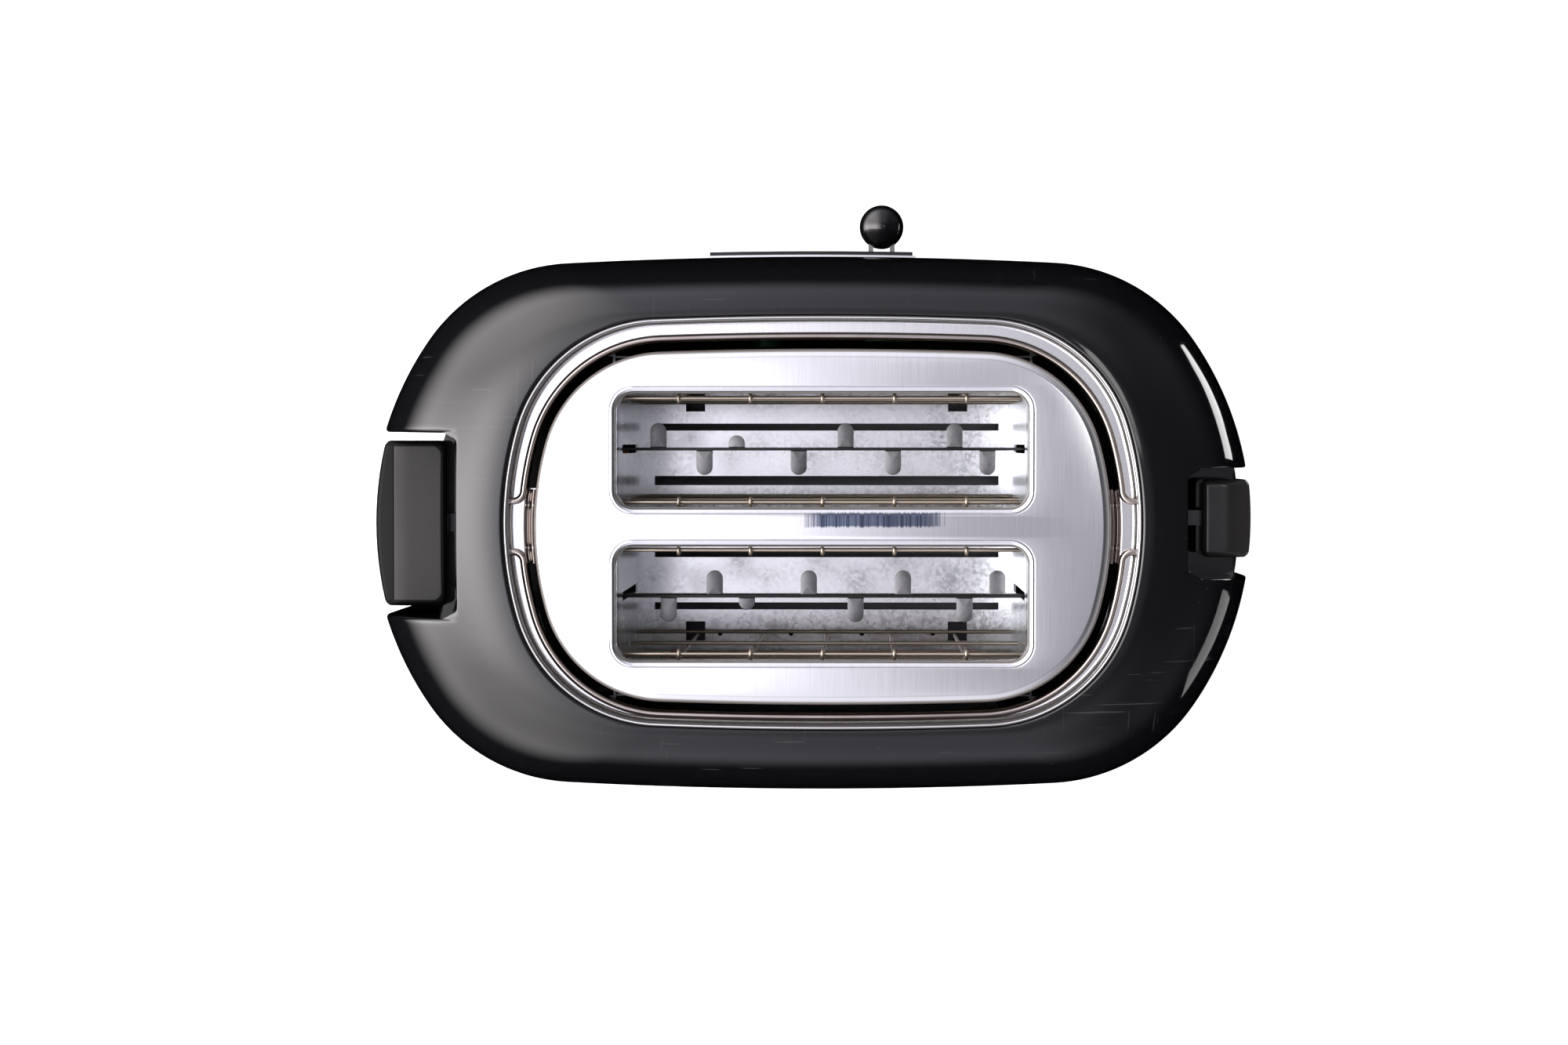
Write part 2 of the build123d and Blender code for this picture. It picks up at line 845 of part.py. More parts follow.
def make_rack_lever():
    span = (rack_lever_in, rack_lever_out)
    return lever_block(-1, *span, rack_lever_width, rack_lever_y, rack_lever_low, rack_lever_high)


def pad_block(grow, high):
    """The matte insert in the top of the bread lever."""
    x0 = bread_lever_in + pad_inner_rim - grow
    x1 = bread_lever_out - pad_outer_rim + grow
    half = bread_lever_width / 2 - pad_side_rim + grow
    block = bar(x0, x1, housing_y - half, housing_y + half, bread_lever_high - pad_thick, high)
    return fillet(vertical_edges(block).group_by(Axis.X)[0], pad_round)


def make_bread_lever():
    """A wide grip with a shallow seat for its insert."""
    span = (bread_lever_in, bread_lever_out)
    lever = lever_block(1, *span, bread_lever_width, housing_y, bread_lever_low, bread_lever_high)
    return lever - pad_block(pad_set, bread_lever_high + cut_past)


def make_lever_pad():
    return pad_block(0, bread_lever_high - pad_set)


def tab_places(side):
    """Places of the tabs along a bar: an even row to one side, a wide one with a short tab to the other."""
    shift = tab_rear_shift if side > 0 else 0
    first = chamber_half - even_tab_in - shift
    even_pitch = (2 * chamber_half - even_tab_in - even_tab_end) / 3
    short = chamber_half - short_tab_in - shift
    wide_pitch = (2 * chamber_half - short_tab_in - wide_tab_end) / 2
    places = [(first - even_pitch * k, -side, tab_reach) for k in range(4)]
    places += [(chamber_half - wide_tab_in - shift, side, tab_reach), (short, side, tab_short)]
    return places + [(short - wide_pitch * k, side, tab_reach) for k in (1, 2)]


def bar_y(side):
    return housing_y + side * slot_pitch / 2


def make_carriage_bar(side):
    """A strip on edge with round-ended tabs bent to both sides; side is -1 at the front."""
    y = bar_y(side)
    strip = bar(-yoke_x, yoke_x, y - bar_sheet / 2, y + bar_sheet / 2, bar_top_z - bar_height, bar_top_z)
    half = tab_width / 2
    low = bar_top_z - tab_sheet
    for x, way, reach in tab_places(side):
        tip_y = y + way * (reach - half)
        strip += bar(x - half, x + half, y, tip_y, low, bar_top_z) + upright(x, tip_y, low, half, tab_sheet)
    return strip


def yoke_sides():
    return bar_y(-1) - yoke_over, bar_y(1) + yoke_over


def make_lift_bracket():
    """The yoke that joins both bars, with its bush on the rod and the arm of the lever."""
    face = yoke_x + yoke_sheet
    bracket = bar(yoke_x, face, *yoke_sides(), yoke_low, bar_top_z)
    hub_end = rod_x + hub_past
    hub_y = (housing_y - hub_half, housing_y + hub_half)
    bracket += bar(face, hub_end, *hub_y, yoke_low + hub_step, arm_top_z)
    arm_y = (housing_y - arm_width / 2, housing_y + arm_width / 2)
    bracket += bar(hub_end - overlap, bread_lever_in, *arm_y, arm_low_z, arm_top_z)
    rod_ends = ((rod_x, housing_y, yoke_low), (rod_x, housing_y, bar_top_z))
    bracket -= round_bar(*rod_ends, rod / 2 + rod_fit)
    # Shelf that carries the armature
    shelf_y = (magnet_y - armature_side - overlap, magnet_y + armature_side + overlap)
    return bracket + bar(face, magnet_x + armature_half, *shelf_y, yoke_low, yoke_low + hub_step)


def make_armature():
    x = (magnet_x - armature_half, magnet_x + armature_half)
    y = (magnet_y - armature_side, magnet_y + armature_side)
    return bar(*x, *y, yoke_low - armature_thick, yoke_low)


def make_electromagnet():
    """A coil round a steel core, standing on the base under the armature."""
    top = yoke_low - armature_thick - bread_travel - run_gap
    x = (magnet_x - core_half, magnet_x + core_half)
    foot_top = base_top + core_foot_high
    core = bar(*x, magnet_y - core_side, magnet_y + core_side, base_top, top)
    core += bar(*x, magnet_y - core_foot_side, magnet_y + core_foot_side, base_top, foot_top)
    x = (magnet_x - coil_half, magnet_x + coil_half)
    coil = bar(*x, magnet_y - coil_side, magnet_y + coil_side, foot_top, top - pole_high)
    return core + fillet(vertical_edges(coil), coil_round)


def make_far_slider():
    return bar(-yoke_x - yoke_sheet, -yoke_x, *yoke_sides(), bar_top_z - slider_high, bar_top_z)


def make_guide_rod():
    return round_bar((rod_x, housing_y, base_top), (rod_x, housing_y, mech_top), rod / 2)


def make_mech_bracket():
    """A shelf on the end wall that holds the rod's top and the spring."""
    face = chamber_half + chamber_sheet
    y = (housing_y - mech_side, housing_y + mech_side)
    shelf = bar(face, rod_x + mech_past, *y, mech_top - mech_sheet, mech_top)
    shelf += bar(face, face + mech_flange, *y, mech_top - mech_flange_high, mech_top)
    ends = ((rod_x, housing_y, mech_top - mech_sheet - cut_past), (rod_x, housing_y, mech_top + cut_past))
    return shelf - round_bar(*ends, rod / 2)


def make_return_spring():
    """The closely wound tension spring, as the sleeve that its turns make up."""
    low = arm_top_z + run_gap
    high = mech_top - mech_sheet - run_gap
    sleeve = upright(spring_x, housing_y, low, spring_radius, high - low)
    hollow = high - low - 2 * spring_plug
    return sleeve - upright(spring_x, housing_y, low + spring_plug, spring_bore, hollow)


def make_end_plate(side):
    """An end wall of the chamber: slots for the bars, guard pivots, folded sides."""
    x0 = side * chamber_half
    x1 = side * (chamber_half + chamber_sheet)
    cut = (x0 - side, x1 + side)
    sheet = bar(x0, x1, -chamber_wide, chamber_wide, base_top, end_plate_top)
    # The folded sides end below the skirt of the ring
    for y in (-chamber_wide, chamber_wide - chamber_sheet):
        sheet += bar(x1, side * (chamber_half + end_fold), y, y + chamber_sheet, floor_z, end_fold_top)
    for way in (-1, 1):
        notch = way * (chamber_wide - end_notch)
        sheet -= bar(*cut, notch, way * past_all, end_fold_top, plate_z)
        slot_low = bar_top_z - bar_height - bread_travel - bar_slot_under
        slot_y = (bar_y(way) - bar_slot / 2, bar_y(way) + bar_slot / 2)
        sheet -= bar(*cut, *slot_y, slot_low, bar_top_z + bar_slot_over)
    for y in guard_places():
        sheet -= round_bar((cut[0], y, guard_low), (cut[1], y, guard_low), guard_wire / 2 + pin_fit)
    # Each end wall stands on two feet
    sheet -= bar(*cut, -end_leg_half, end_leg_half, base_top - cut_past, base_top + end_leg_high)
    return sheet


def guard_places():
    """Where the four guards stand, front to rear."""
    return [slot * slot_pitch / 2 + way * guard_offset for slot in (-1, 1) for way in (-1, 1)]


def thin_wire(start, end, radius):
    """A straight wire with few faces, for the many wires of the guards."""
    axis = Vector(*end) - Vector(*start)
    across = (1, 0, 0) if axis.X == 0 else (0, 1, 0)
    section = Plane(origin=start, x_dir=across, z_dir=axis) * RegularPolygon(radius, guard_sides)
    return extrude(section, amount=axis.length)


def make_bread_guard(y, outward):
    """A guard of wire: three long wires and five uprights welded to their outer side."""
    radius = guard_wire / 2
    reach = chamber_half + chamber_sheet + guard_end
    guard = thin_wire((-reach, y, guard_low), (reach, y, guard_low), radius)
    for z in (guard_mid, guard_top):
        guard += thin_wire((-guard_half, y, z), (guard_half, y, z), radius)
    back = y + outward * (guard_wire - guard_weld)
    for number in range(guard_count):
        x = guard_pitch * (number - (guard_count - 1) / 2)
        guard += thin_wire((x, back, guard_low - radius), (x, back, guard_top + radius), radius)
    return guard


def make_reflector(side):
    y = (side * reflector_y, side * (reflector_y - reflector_sheet))
    return bar(-chamber_half, chamber_half, *y, floor_z, end_plate_top - reflector_drop)


def floor_cut(x, y, half_x, half_y):
    return bar(x - half_x, x + half_x, y - half_y, y + half_y, floor_z - chamber_sheet, floor_z)


def make_chamber_floor():
    """The floor of the chamber, with crumb gaps, small holes and square cut-outs."""
    sheet = floor_cut(0, 0, chamber_half, reflector_y)
    pitch = 2 * (chamber_half - floor_hole_in) / (floor_holes - 1)
    for side in (-1, 1):
        for y, wide in ((near_gap_y, near_gap), (far_gap_y, far_gap)):
            sheet -= floor_cut(0, side * y, chamber_half - floor_gap_in, wide / 2)
        for way in (-1, 1):
            x = way * (chamber_half - floor_square_in)
            sheet -= floor_cut(x, side * floor_square_y, floor_square / 2, floor_square / 2)
        for number in range(floor_holes):
            x = pitch * (number - (floor_holes - 1) / 2)
            sheet -= upright(x, side * floor_hole_y, floor_z - cut_past, floor_hole, 2 * cut_past)
    return sheet


def make_heater_board(y):
    """A mica board that hangs between both end walls."""
    return bar(-chamber_half, chamber_half, y - board_sheet / 2, y + board_sheet / 2, board_low, board_high)


def make_ribbon(y, way):
    """One resistance ribbon, laid to and fro down the face of a board."""
    face = y + way * board_sheet / 2
    sides = (face, face + way * ribbon_thick)
    pitch = (board_high - board_low - 2 * ribbon_margin) / (ribbon_rows - 1)
    ribbon = None
    for row in range(ribbon_rows):
        z = board_low + ribbon_margin + pitch * row
        strand = bar(-ribbon_half, ribbon_half, *sides, z - ribbon_wide / 2, z + ribbon_wide / 2)
        if row:
            end = ribbon_half if row % 2 else -ribbon_half + ribbon_wide
            strand += bar(end - ribbon_wide, end, *sides, z - pitch, z)
        ribbon = strand if ribbon is None else ribbon + strand
    return ribbon


def make_heater_ribbons():
    return [make_ribbon(y, way) for y, way in ((-board_y, 1), (0, -1), (0, 1), (board_y, -1))]


def button_x(column):
    return housing_x + column * button_pitch


def panel_bore(column):
    """A round hole through the front for the button of one column."""
    x = button_x(column)
    ends = ((x, -past_all, button_z), (x, front_y + panel_deep, button_z))
    return round_bar(*ends, button_radius + button_fit)


def slide_cut():
    """The long slot that the legs of the knob pass through."""
    x = (housing_x - slide_half, housing_x + slide_half)
    return bar(*x, -past_all, front_y + panel_deep, slide_z - slide_high / 2, slide_z + slide_high / 2)


def panel_skin(edge, proud, back):
    """A skin on the front of the housing, from one height above it to another, with its cuts."""
    half = panel_half + edge
    field = bar(housing_x - half, housing_x + half, -past_all, 0, panel_low - edge, panel_high + edge)
    skin = body_solid(proud) & field
    skin -= back
    skin -= slide_cut()
    for column in (-1, 0, 1):
        skin -= panel_bore(column)
    return skin


def make_panel_bezel():
    """Bright trim between housing and panel; it follows the housing's bow."""
    return panel_skin(bezel_edge, bezel_proud, outer_form)


def make_control_panel():
    """The black panel on the bezel, with the slot of the knob and three button holes."""
    return panel_skin(0, panel_proud, body_solid(bezel_proud))


def make_button(column):
    """A round button with a flange behind the wall and a plunger towards its switch."""
    x = button_x(column)
    face = front_y + inset_at(button_z)
    front = face - panel_proud - button_proud
    flange = face + wall + button_seat
    flange_back = flange + button_flange_thick
    tip = board_front - switch_deep - button_travel - run_gap
    button = round_bar((x, front, button_z), (x, flange + overlap, button_z), button_radius)
    button = chamfer(button.edges().sort_by(Axis.Y)[0], button_chamfer)
    button += round_bar((x, flange, button_z), (x, flange_back, button_z), button_flange)
    return button + round_bar((x, flange_back - overlap, button_z), (x, tip, button_z), plunger_radius)


def make_circuit_board():
    """The control board on its bosses, with one switch behind each button."""
    back = board_front + control_sheet
    left = housing_x - control_half
    right = housing_x + control_half
    board = bar(left, right, board_front, back, control_low, control_high)
    for column in (-1, 0, 1):
        x = (button_x(column) - switch_half, button_x(column) + switch_half)
        z = (button_z - switch_half, button_z + switch_half)
        board += bar(*x, board_front - switch_deep, board_front, *z)
    # The relay's case and one round capacitor
    relay_x = (left + relay_in, left + relay_in + relay_size)
    relay_top = control_high - relay_drop
    board += bar(*relay_x, back, back + relay_deep, relay_top - relay_size, relay_top)
    x = right - capacitor_in
    z = control_high - capacitor_drop
    return board + round_bar((x, back, z), (x, back + capacitor_long, z), capacitor_radius)


def make_browning_pot():
    """The slide resistor, with the groove that the wiper runs in."""
    half = slide_half + pot_end
    face = board_front - pot_deep
    z = (slide_z - pot_high / 2, slide_z + pot_high / 2)
    case = bar(housing_x - half, housing_x + half, face, board_front, *z)
    groove_x = (housing_x - slide_half, housing_x + slide_half)
    groove_z = (slide_z - groove_half, slide_z + groove_half)
    return case - bar(*groove_x, face - cut_past, face + groove_deep, *groove_z)


def knob_centre():
    return (housing_x + knob_x, front_y - knob_out, slide_z)


def make_ball_knob():
    return Pos(*knob_centre()) * Sphere(knob_radius)


def slide_piece(x, half, y0, y1, high):
    """A block of the wiper, centred on the slide's height."""
    return bar(x - half, x + half, y0, y1, slide_z - high / 2, slide_z + high / 2)


def make_slider_bracket():
    """Wiper block with two legs that pass the slot and end on the ball."""
    back = board_front - pot_deep - run_gap
    x, y, z = knob_centre()
    bracket = slide_piece(x, wiper_half, back - wiper_thick, back, wiper_high)
    bracket += slide_piece(x, brush_half, back - overlap, back + brush_long, brush_high)
    for side in (-1, 1):
        leg = slide_piece(x + side * leg_apart, leg_wide / 2, y, back - wiper_thick + overlap, leg_high)
        bracket += leg
    return bracket - Pos(x, y, z) * Sphere(knob_radius)


def make_crumb_tray():
    """A shallow sheet tray on two rails."""
    tray = bar(-tray_half, tray_half, -tray_y, tray_back, tray_low, tray_high)
    half = tray_half - tray_sheet
    y = (-tray_y + tray_sheet, tray_back - tray_sheet)
    return tray - bar(-half, half, *y, tray_low + tray_sheet, tray_high + cut_past)


def make_tray_front():
    """The tray's grip, flush with the housing's rear wall."""
    block = bar(-tray_front_half, tray_front_half, tray_back, past_all, tray_front_low, tray_front_high)
    return outer_form & block


def gland_bar(radius, y0, y1):
    return round_bar((gland_x, y0, gland_z), (gland_x, y1, gland_z), radius)


def make_cord_gland():
    """A flanged bush in the rear wall."""
    inside = rear_y - gland_deep
    proud = rear_y - inset_at(gland_z) + gland_proud
    bush = gland_bar(gland_radius, inside, proud)
    flange = gland_bar(gland_flange, rear_y - wall, proud) - outer_form
    return bush + flange - gland_bar(gland_bore, inside - cut_past, past_all)


def make_base_screws():
    """Four pan heads under the base that hold the end walls."""
    reach = chamber_half + screw_out
    places = [(x, y) for x in (-reach, reach) for y in (-screw_y, screw_y)]
    return [upright(x, y, base_z - screw_high, screw_radius, screw_high) for x, y in places]


nodes = {
    "housing_shell": make_housing_shell,
    "base_pan": make_base_pan,
    "rubber_feet": make_rubber_feet,
    "base_screws": make_base_screws,
    "chrome_ring": make_chrome_ring,
    "top_plate": make_top_plate,
    "rack_wire_front": lambda: make_rack_wire(-1),
    "rack_wire_rear": lambda: make_rack_wire(1),
    "rack_cam": make_rack_cam,
    "rack_bracket": make_rack_bracket,
    "rack_lever": make_rack_lever,
    "bread_lever": make_bread_lever,
    "lever_pad": make_lever_pad,
    "carriage_bar_front": lambda: make_carriage_bar(-1),
    "carriage_bar_rear": lambda: make_carriage_bar(1),
    "lift_bracket": make_lift_bracket,
    "far_slider": make_far_slider,
    "armature": make_armature,
    "electromagnet": make_electromagnet,
    "guide_rod": make_guide_rod,
    "mech_bracket": make_mech_bracket,
    "return_spring": make_return_spring,
    "end_plate_lever": lambda: make_end_plate(1),
    "end_plate_rack": lambda: make_end_plate(-1),
    "reflector_front": lambda: make_reflector(-1),
    "reflector_rear": lambda: make_reflector(1),
    "chamber_floor": make_chamber_floor,
    "heater_board_front": lambda: make_heater_board(-board_y),
    "heater_board_centre": lambda: make_heater_board(0),
    "heater_board_rear": lambda: make_heater_board(board_y),
    "heater_ribbons": make_heater_ribbons,
    "panel_bezel": make_panel_bezel,
    "control_panel": make_control_panel,
    "stop_button": lambda: make_button(-1),
    "defrost_button": lambda: make_button(0),
    "reheat_button": lambda: make_button(1),
    "circuit_board": make_circuit_board,
    "browning_pot": make_browning_pot,
    "slider_bracket": make_slider_bracket,
    "ball_knob": make_ball_knob,
    "crumb_tray": make_crumb_tray,
    "tray_front": make_tray_front,
    "cord_gland": make_cord_gland,
}
for number, place in enumerate(guard_places(), 1):
    away = -1 if number % 2 else 1
    nodes[f"bread_guard_{number}"] = lambda y=place, w=away: make_bread_guard(y, w)

# The ball stands further out than the rear wall, so the footprint's middle is off the chamber's
front_reach = knob_radius - knob_centre()[1]
origin_y = (front_reach - rear_y) / 2
origin_x = -housing_x

os.makedirs("parts", exist_ok=True)
for name, make in nodes.items():
    made = make()
    pieces = made if isinstance(made, list) else [made]
    solids = [Pos(origin_x, origin_y, 0) * solid for piece in pieces for solid in piece.solids()]
    node = solids[0] if len(solids) == 1 else Compound(children=solids)
    export_step(node, f"parts/{name}.step")
print("origin shift in X and Y", round(origin_x, 4), round(origin_y, 4))
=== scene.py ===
"""Looks of a two-slot toaster with a folding bun rack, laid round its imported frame.

Sizes are millimetres in the toaster's own layout, whose middle is the middle of the slot
plate; Layout carries them into the metres of the frame. The front, with the control panel,
faces -Y, the bread lever is at +X and the rack lever at -X.
"""

import logging
import math
from dataclasses import dataclass, replace
from enum import Enum
from functools import partial
from typing import Any, Callable, Sequence

import bpy
import numpy as np
from mathutils import Matrix, Vector
from mathutils.geometry import tessellate_polygon

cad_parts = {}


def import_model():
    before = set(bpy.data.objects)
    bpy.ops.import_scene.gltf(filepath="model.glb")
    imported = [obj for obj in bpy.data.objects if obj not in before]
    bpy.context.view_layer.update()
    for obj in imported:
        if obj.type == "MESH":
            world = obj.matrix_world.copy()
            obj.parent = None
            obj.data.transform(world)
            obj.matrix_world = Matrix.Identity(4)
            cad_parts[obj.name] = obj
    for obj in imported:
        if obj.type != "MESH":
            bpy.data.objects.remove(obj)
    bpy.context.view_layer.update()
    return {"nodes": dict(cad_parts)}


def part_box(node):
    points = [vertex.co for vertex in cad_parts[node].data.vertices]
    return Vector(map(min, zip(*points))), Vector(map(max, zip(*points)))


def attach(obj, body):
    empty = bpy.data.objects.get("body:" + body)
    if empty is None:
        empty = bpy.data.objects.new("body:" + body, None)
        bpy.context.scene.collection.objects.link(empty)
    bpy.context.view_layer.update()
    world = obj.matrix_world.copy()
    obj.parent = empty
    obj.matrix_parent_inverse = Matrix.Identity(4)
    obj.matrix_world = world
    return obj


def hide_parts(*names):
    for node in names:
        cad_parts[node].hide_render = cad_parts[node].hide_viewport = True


log = logging.getLogger("toaster")
Array = np.ndarray
Colour = tuple[float, float, float]
Outline = Callable[[float], Array]
Move = Callable[[Array], Array]


class Facing(Enum):
    """Which way the faces of a grid look; the value is the step through a face's corners."""

    AS_LAID = 1
    REVERSED = -1

    def other(self) -> "Facing":
        """The opposite way."""
        return Facing(-self.value)


class Side(Enum):
    """The side of the control panel and the one behind it, by their sign along Y."""

    FRONT = -1
    REAR = 1


class End(Enum):
    """The two ends of the toaster, by their sign along X."""

    LEVER = 1
    RACK = -1


class Reaches(Enum):
    """What a bright sheet of the studio reaches."""

    MIRRORS = "reflections"
    MATT = "matt surfaces"


@dataclass(frozen=True)
class Layout:
    """Carries millimetres about the plate's middle into metres of the frame."""

    middle: tuple[float, float]
    metre: float = 0.001

    @classmethod
    def from_frame(cls) -> "Layout":
        """Finds the plate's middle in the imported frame.

        Returns:
            The layout whose origin is the middle of the slot plate, at floor level.
        """
        low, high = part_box("top_plate")
        return cls(((low.x + high.x) / 2, (low.y + high.y) / 2))

    def place(self, points: Array) -> Array:
        """Moves points from the layout into the frame.

        Args:
            points: Any array whose last axis is x, y, z in millimetres.

        Returns:
            The same array in metres of the frame.
        """
        offset = np.array([self.middle[0], self.middle[1], 0.0])
        return np.asarray(points, float) * self.metre + offset

    def spot(self, x: float, y: float, z: float) -> Vector:
        """One point of the frame, in metres."""
        return Vector(self.place(np.array([x, y, z])))


class Signal:
    """A shader socket that adds Math nodes when it is used in an expression."""

    def __init__(self, paint: "Paint", socket: Any) -> None:
        """Wraps one output socket of a material's nodes."""
        self.paint = paint
        self.socket = socket

    def _math(self, operation: str, first: Any, second: Any) -> "Signal":
        """Adds one Math node and wraps its result."""
        node = self.paint.node("ShaderNodeMath", {"operation": operation}, {0: first, 1: second})
        return Signal(self.paint, node.outputs[0])

    def __add__(self, other: Any) -> "Signal":
        """The sum."""
        return self._math("ADD", self, other)

    __radd__ = __add__

    def __sub__(self, other: Any) -> "Signal":
        """The difference."""
        return self._math("SUBTRACT", self, other)

    def __rsub__(self, other: Any) -> "Signal":
        """The difference, the other way round."""
        return self._math("SUBTRACT", other, self)

    def __mul__(self, other: Any) -> "Signal":
        """The product."""
        return self._math("MULTIPLY", self, other)

    __rmul__ = __mul__

    def size(self) -> "Signal":
        """The value without its sign."""
        return self._math("ABSOLUTE", self, 0.0)

    def ramp(self, low: float, high: float) -> "Signal":
        """A smooth step from 0 at low to 1 at high.

        Args:
            low: The value up to which the step is 0.
            high: The value from which it is 1.

        Returns:
            The step, 3 t^2 - 2 t^3 in between, with t the share of the way.
        """
        node = self.paint.node(
            "ShaderNodeMapRange",
            {"interpolation_type": "SMOOTHSTEP", "clamp": True},
            {"Value": self, "From Min": low, "From Max": high, "To Min": 0.0, "To Max": 1.0},
        )
        return Signal(self.paint, node.outputs["Result"])


class Paint:
    """The node tree of one material or of the world, filled by a few plain methods."""

    def __init__(self, tree: Any) -> None:
        """Takes an empty or fresh node tree."""
        self.tree = tree
        self._object: Any = None

    def node(self, kind: str, settings: dict | None = None, inputs: dict | None = None) -> Any:
        """Adds one node.

        Args:
            kind: The node's type.
            settings: Its properties, set before its sockets.
            inputs: Values or signals for its sockets, by name or number.

        Returns:
            The new node.
        """
        made = self.tree.nodes.new(kind)
        for name, value in (settings or {}).items():
            setattr(made, name, value)
        for key, value in (inputs or {}).items():
            if isinstance(value, Signal):
                self.tree.links.new(value.socket, made.inputs[key])
            else:
                made.inputs[key].default_value = value
        return made

    def object_point(
        self, stretch: Sequence[float] = (1, 1, 1), turn: Sequence[float] = (0, 0, 0)
    ) -> Signal:
        """Object coordinates through a Mapping node.

        Args:
            stretch: Scale along each axis, per metre.
            turn: Rotation about each axis, in radians.

        Returns:
            The mapped coordinates.
        """
        if self._object is None:
            self._object = Signal(self, self.node("ShaderNodeTexCoord").outputs["Object"])
        inputs = {"Vector": self._object, "Scale": tuple(stretch), "Rotation": tuple(turn)}
        mapped = self.node("ShaderNodeMapping", None, inputs)
        return Signal(self, mapped.outputs["Vector"])

    def axis(self, which: str) -> Signal:
        """One object coordinate, X, Y or Z, in metres."""
        return self.part(self.object_point(), which)

    def part(self, vector: Signal, which: str) -> Signal:
        """One part, X, Y or Z, of a vector or colour."""
        parts = self.node("ShaderNodeSeparateXYZ", None, {0: vector})
        return Signal(self, parts.outputs[which])

    def uv(self, layer: str, stretch: Sequence[float]) -> Signal:
        """A UV map through a Mapping node.

        Args:
            layer: The map's name.
            stretch: Scale along u, v and w.

        Returns:
            The mapped coordinates.
        """
        source = self.node("ShaderNodeUVMap", {"uv_map": layer})
        inputs = {"Vector": Signal(self, source.outputs[0]), "Scale": tuple(stretch)}
        mapped = self.node("ShaderNodeMapping", None, inputs)
        return Signal(self, mapped.outputs["Vector"])

    def noise(self, point: Signal, scale: float, detail: float = 2.0, rough: float = 0.5) -> Signal:
        """Fractal noise, about 0.5 on average.

        Args:
            point: Where it is read.
            scale: Its cells per unit of the point.
            detail: Number of finer layers.
            rough: Weight of each finer layer.

        Returns:
            The noise, from 0 to 1.
        """
        made = self.node(
            "ShaderNodeTexNoise",
            None,
            {"Vector": point, "Scale": scale, "Detail": detail, "Roughness": rough},
        )
        return Signal(self, made.outputs["Fac"])

    def cells(self, point: Signal, scale: float, output: str = "Distance") -> Signal:
        """Voronoi cells."""
        made = self.node("ShaderNodeTexVoronoi", None, {"Vector": point, "Scale": scale})
        return Signal(self, made.outputs[output])

    def blend(self, factor: Any, first: Any, second: Any) -> Signal:
        """A mix of two colours.

        Args:
            factor: Share of the second one.
            first: Colour or signal.
            second: Colour or signal.

        Returns:
            The mixed colour.
        """
        made = self.node("ShaderNodeMix", {"data_type": "RGBA"}, {0: factor})
        for number, value in ((6, first), (7, second)):
            if isinstance(value, Signal):
                self.tree.links.new(value.socket, made.inputs[number])
            else:
                made.inputs[number].default_value = (*value, 1.0)
        return Signal(self, made.outputs[2])

    def bump(self, height: Signal, strength: float, depth: float) -> Signal:
        """A bump normal of a real depth.

        Args:
            height: The height that it follows.
            strength: Weight of the bump.
            depth: Depth of one unit of height, in metres.

        Returns:
            The normal.
        """
        inputs = {"Height": height, "Strength": strength, "Distance": depth}
        made = self.node("ShaderNodeBump", None, inputs)
        return Signal(self, made.outputs["Normal"])


@dataclass(frozen=True)
class Finish:
    """A surface finish; its subclasses add what varies over the surface.

    Patterns are read in metres, so a scale is the number of cells per metre.
    """

    name: str
    colour: Colour
    rough: float
    metal: float = 0.0
    slot: str = "gloss_black"
    shine: float = 0.5

    def varied(self, paint: Paint) -> dict[str, Signal]:
        """What varies over the surface.

        Args:
            paint: The material's nodes.

        Returns:
            Signals by the name of the shader socket that they feed.
        """
        return {}

    def material(self) -> Any:
        """Builds the material when it is first asked for.

        Returns:
            The material.
        """
        found = bpy.data.materials.get(self.name)
        if found:
            return found
        made = bpy.data.materials.new(self.name)
        made.use_nodes = True
        shader = made.node_tree.nodes["Principled BSDF"]
        shader.inputs["Base Color"].default_value = (*self.colour, 1.0)
        shader.inputs["Roughness"].default_value = self.rough
        shader.inputs["Metallic"].default_value = self.metal
        shader.inputs["Specular IOR Level"].default_value = self.shine
        paint = Paint(made.node_tree)
        for socket, signal in self.varied(paint).items():
            made.node_tree.links.new(signal.socket, shader.inputs[socket])
        return made


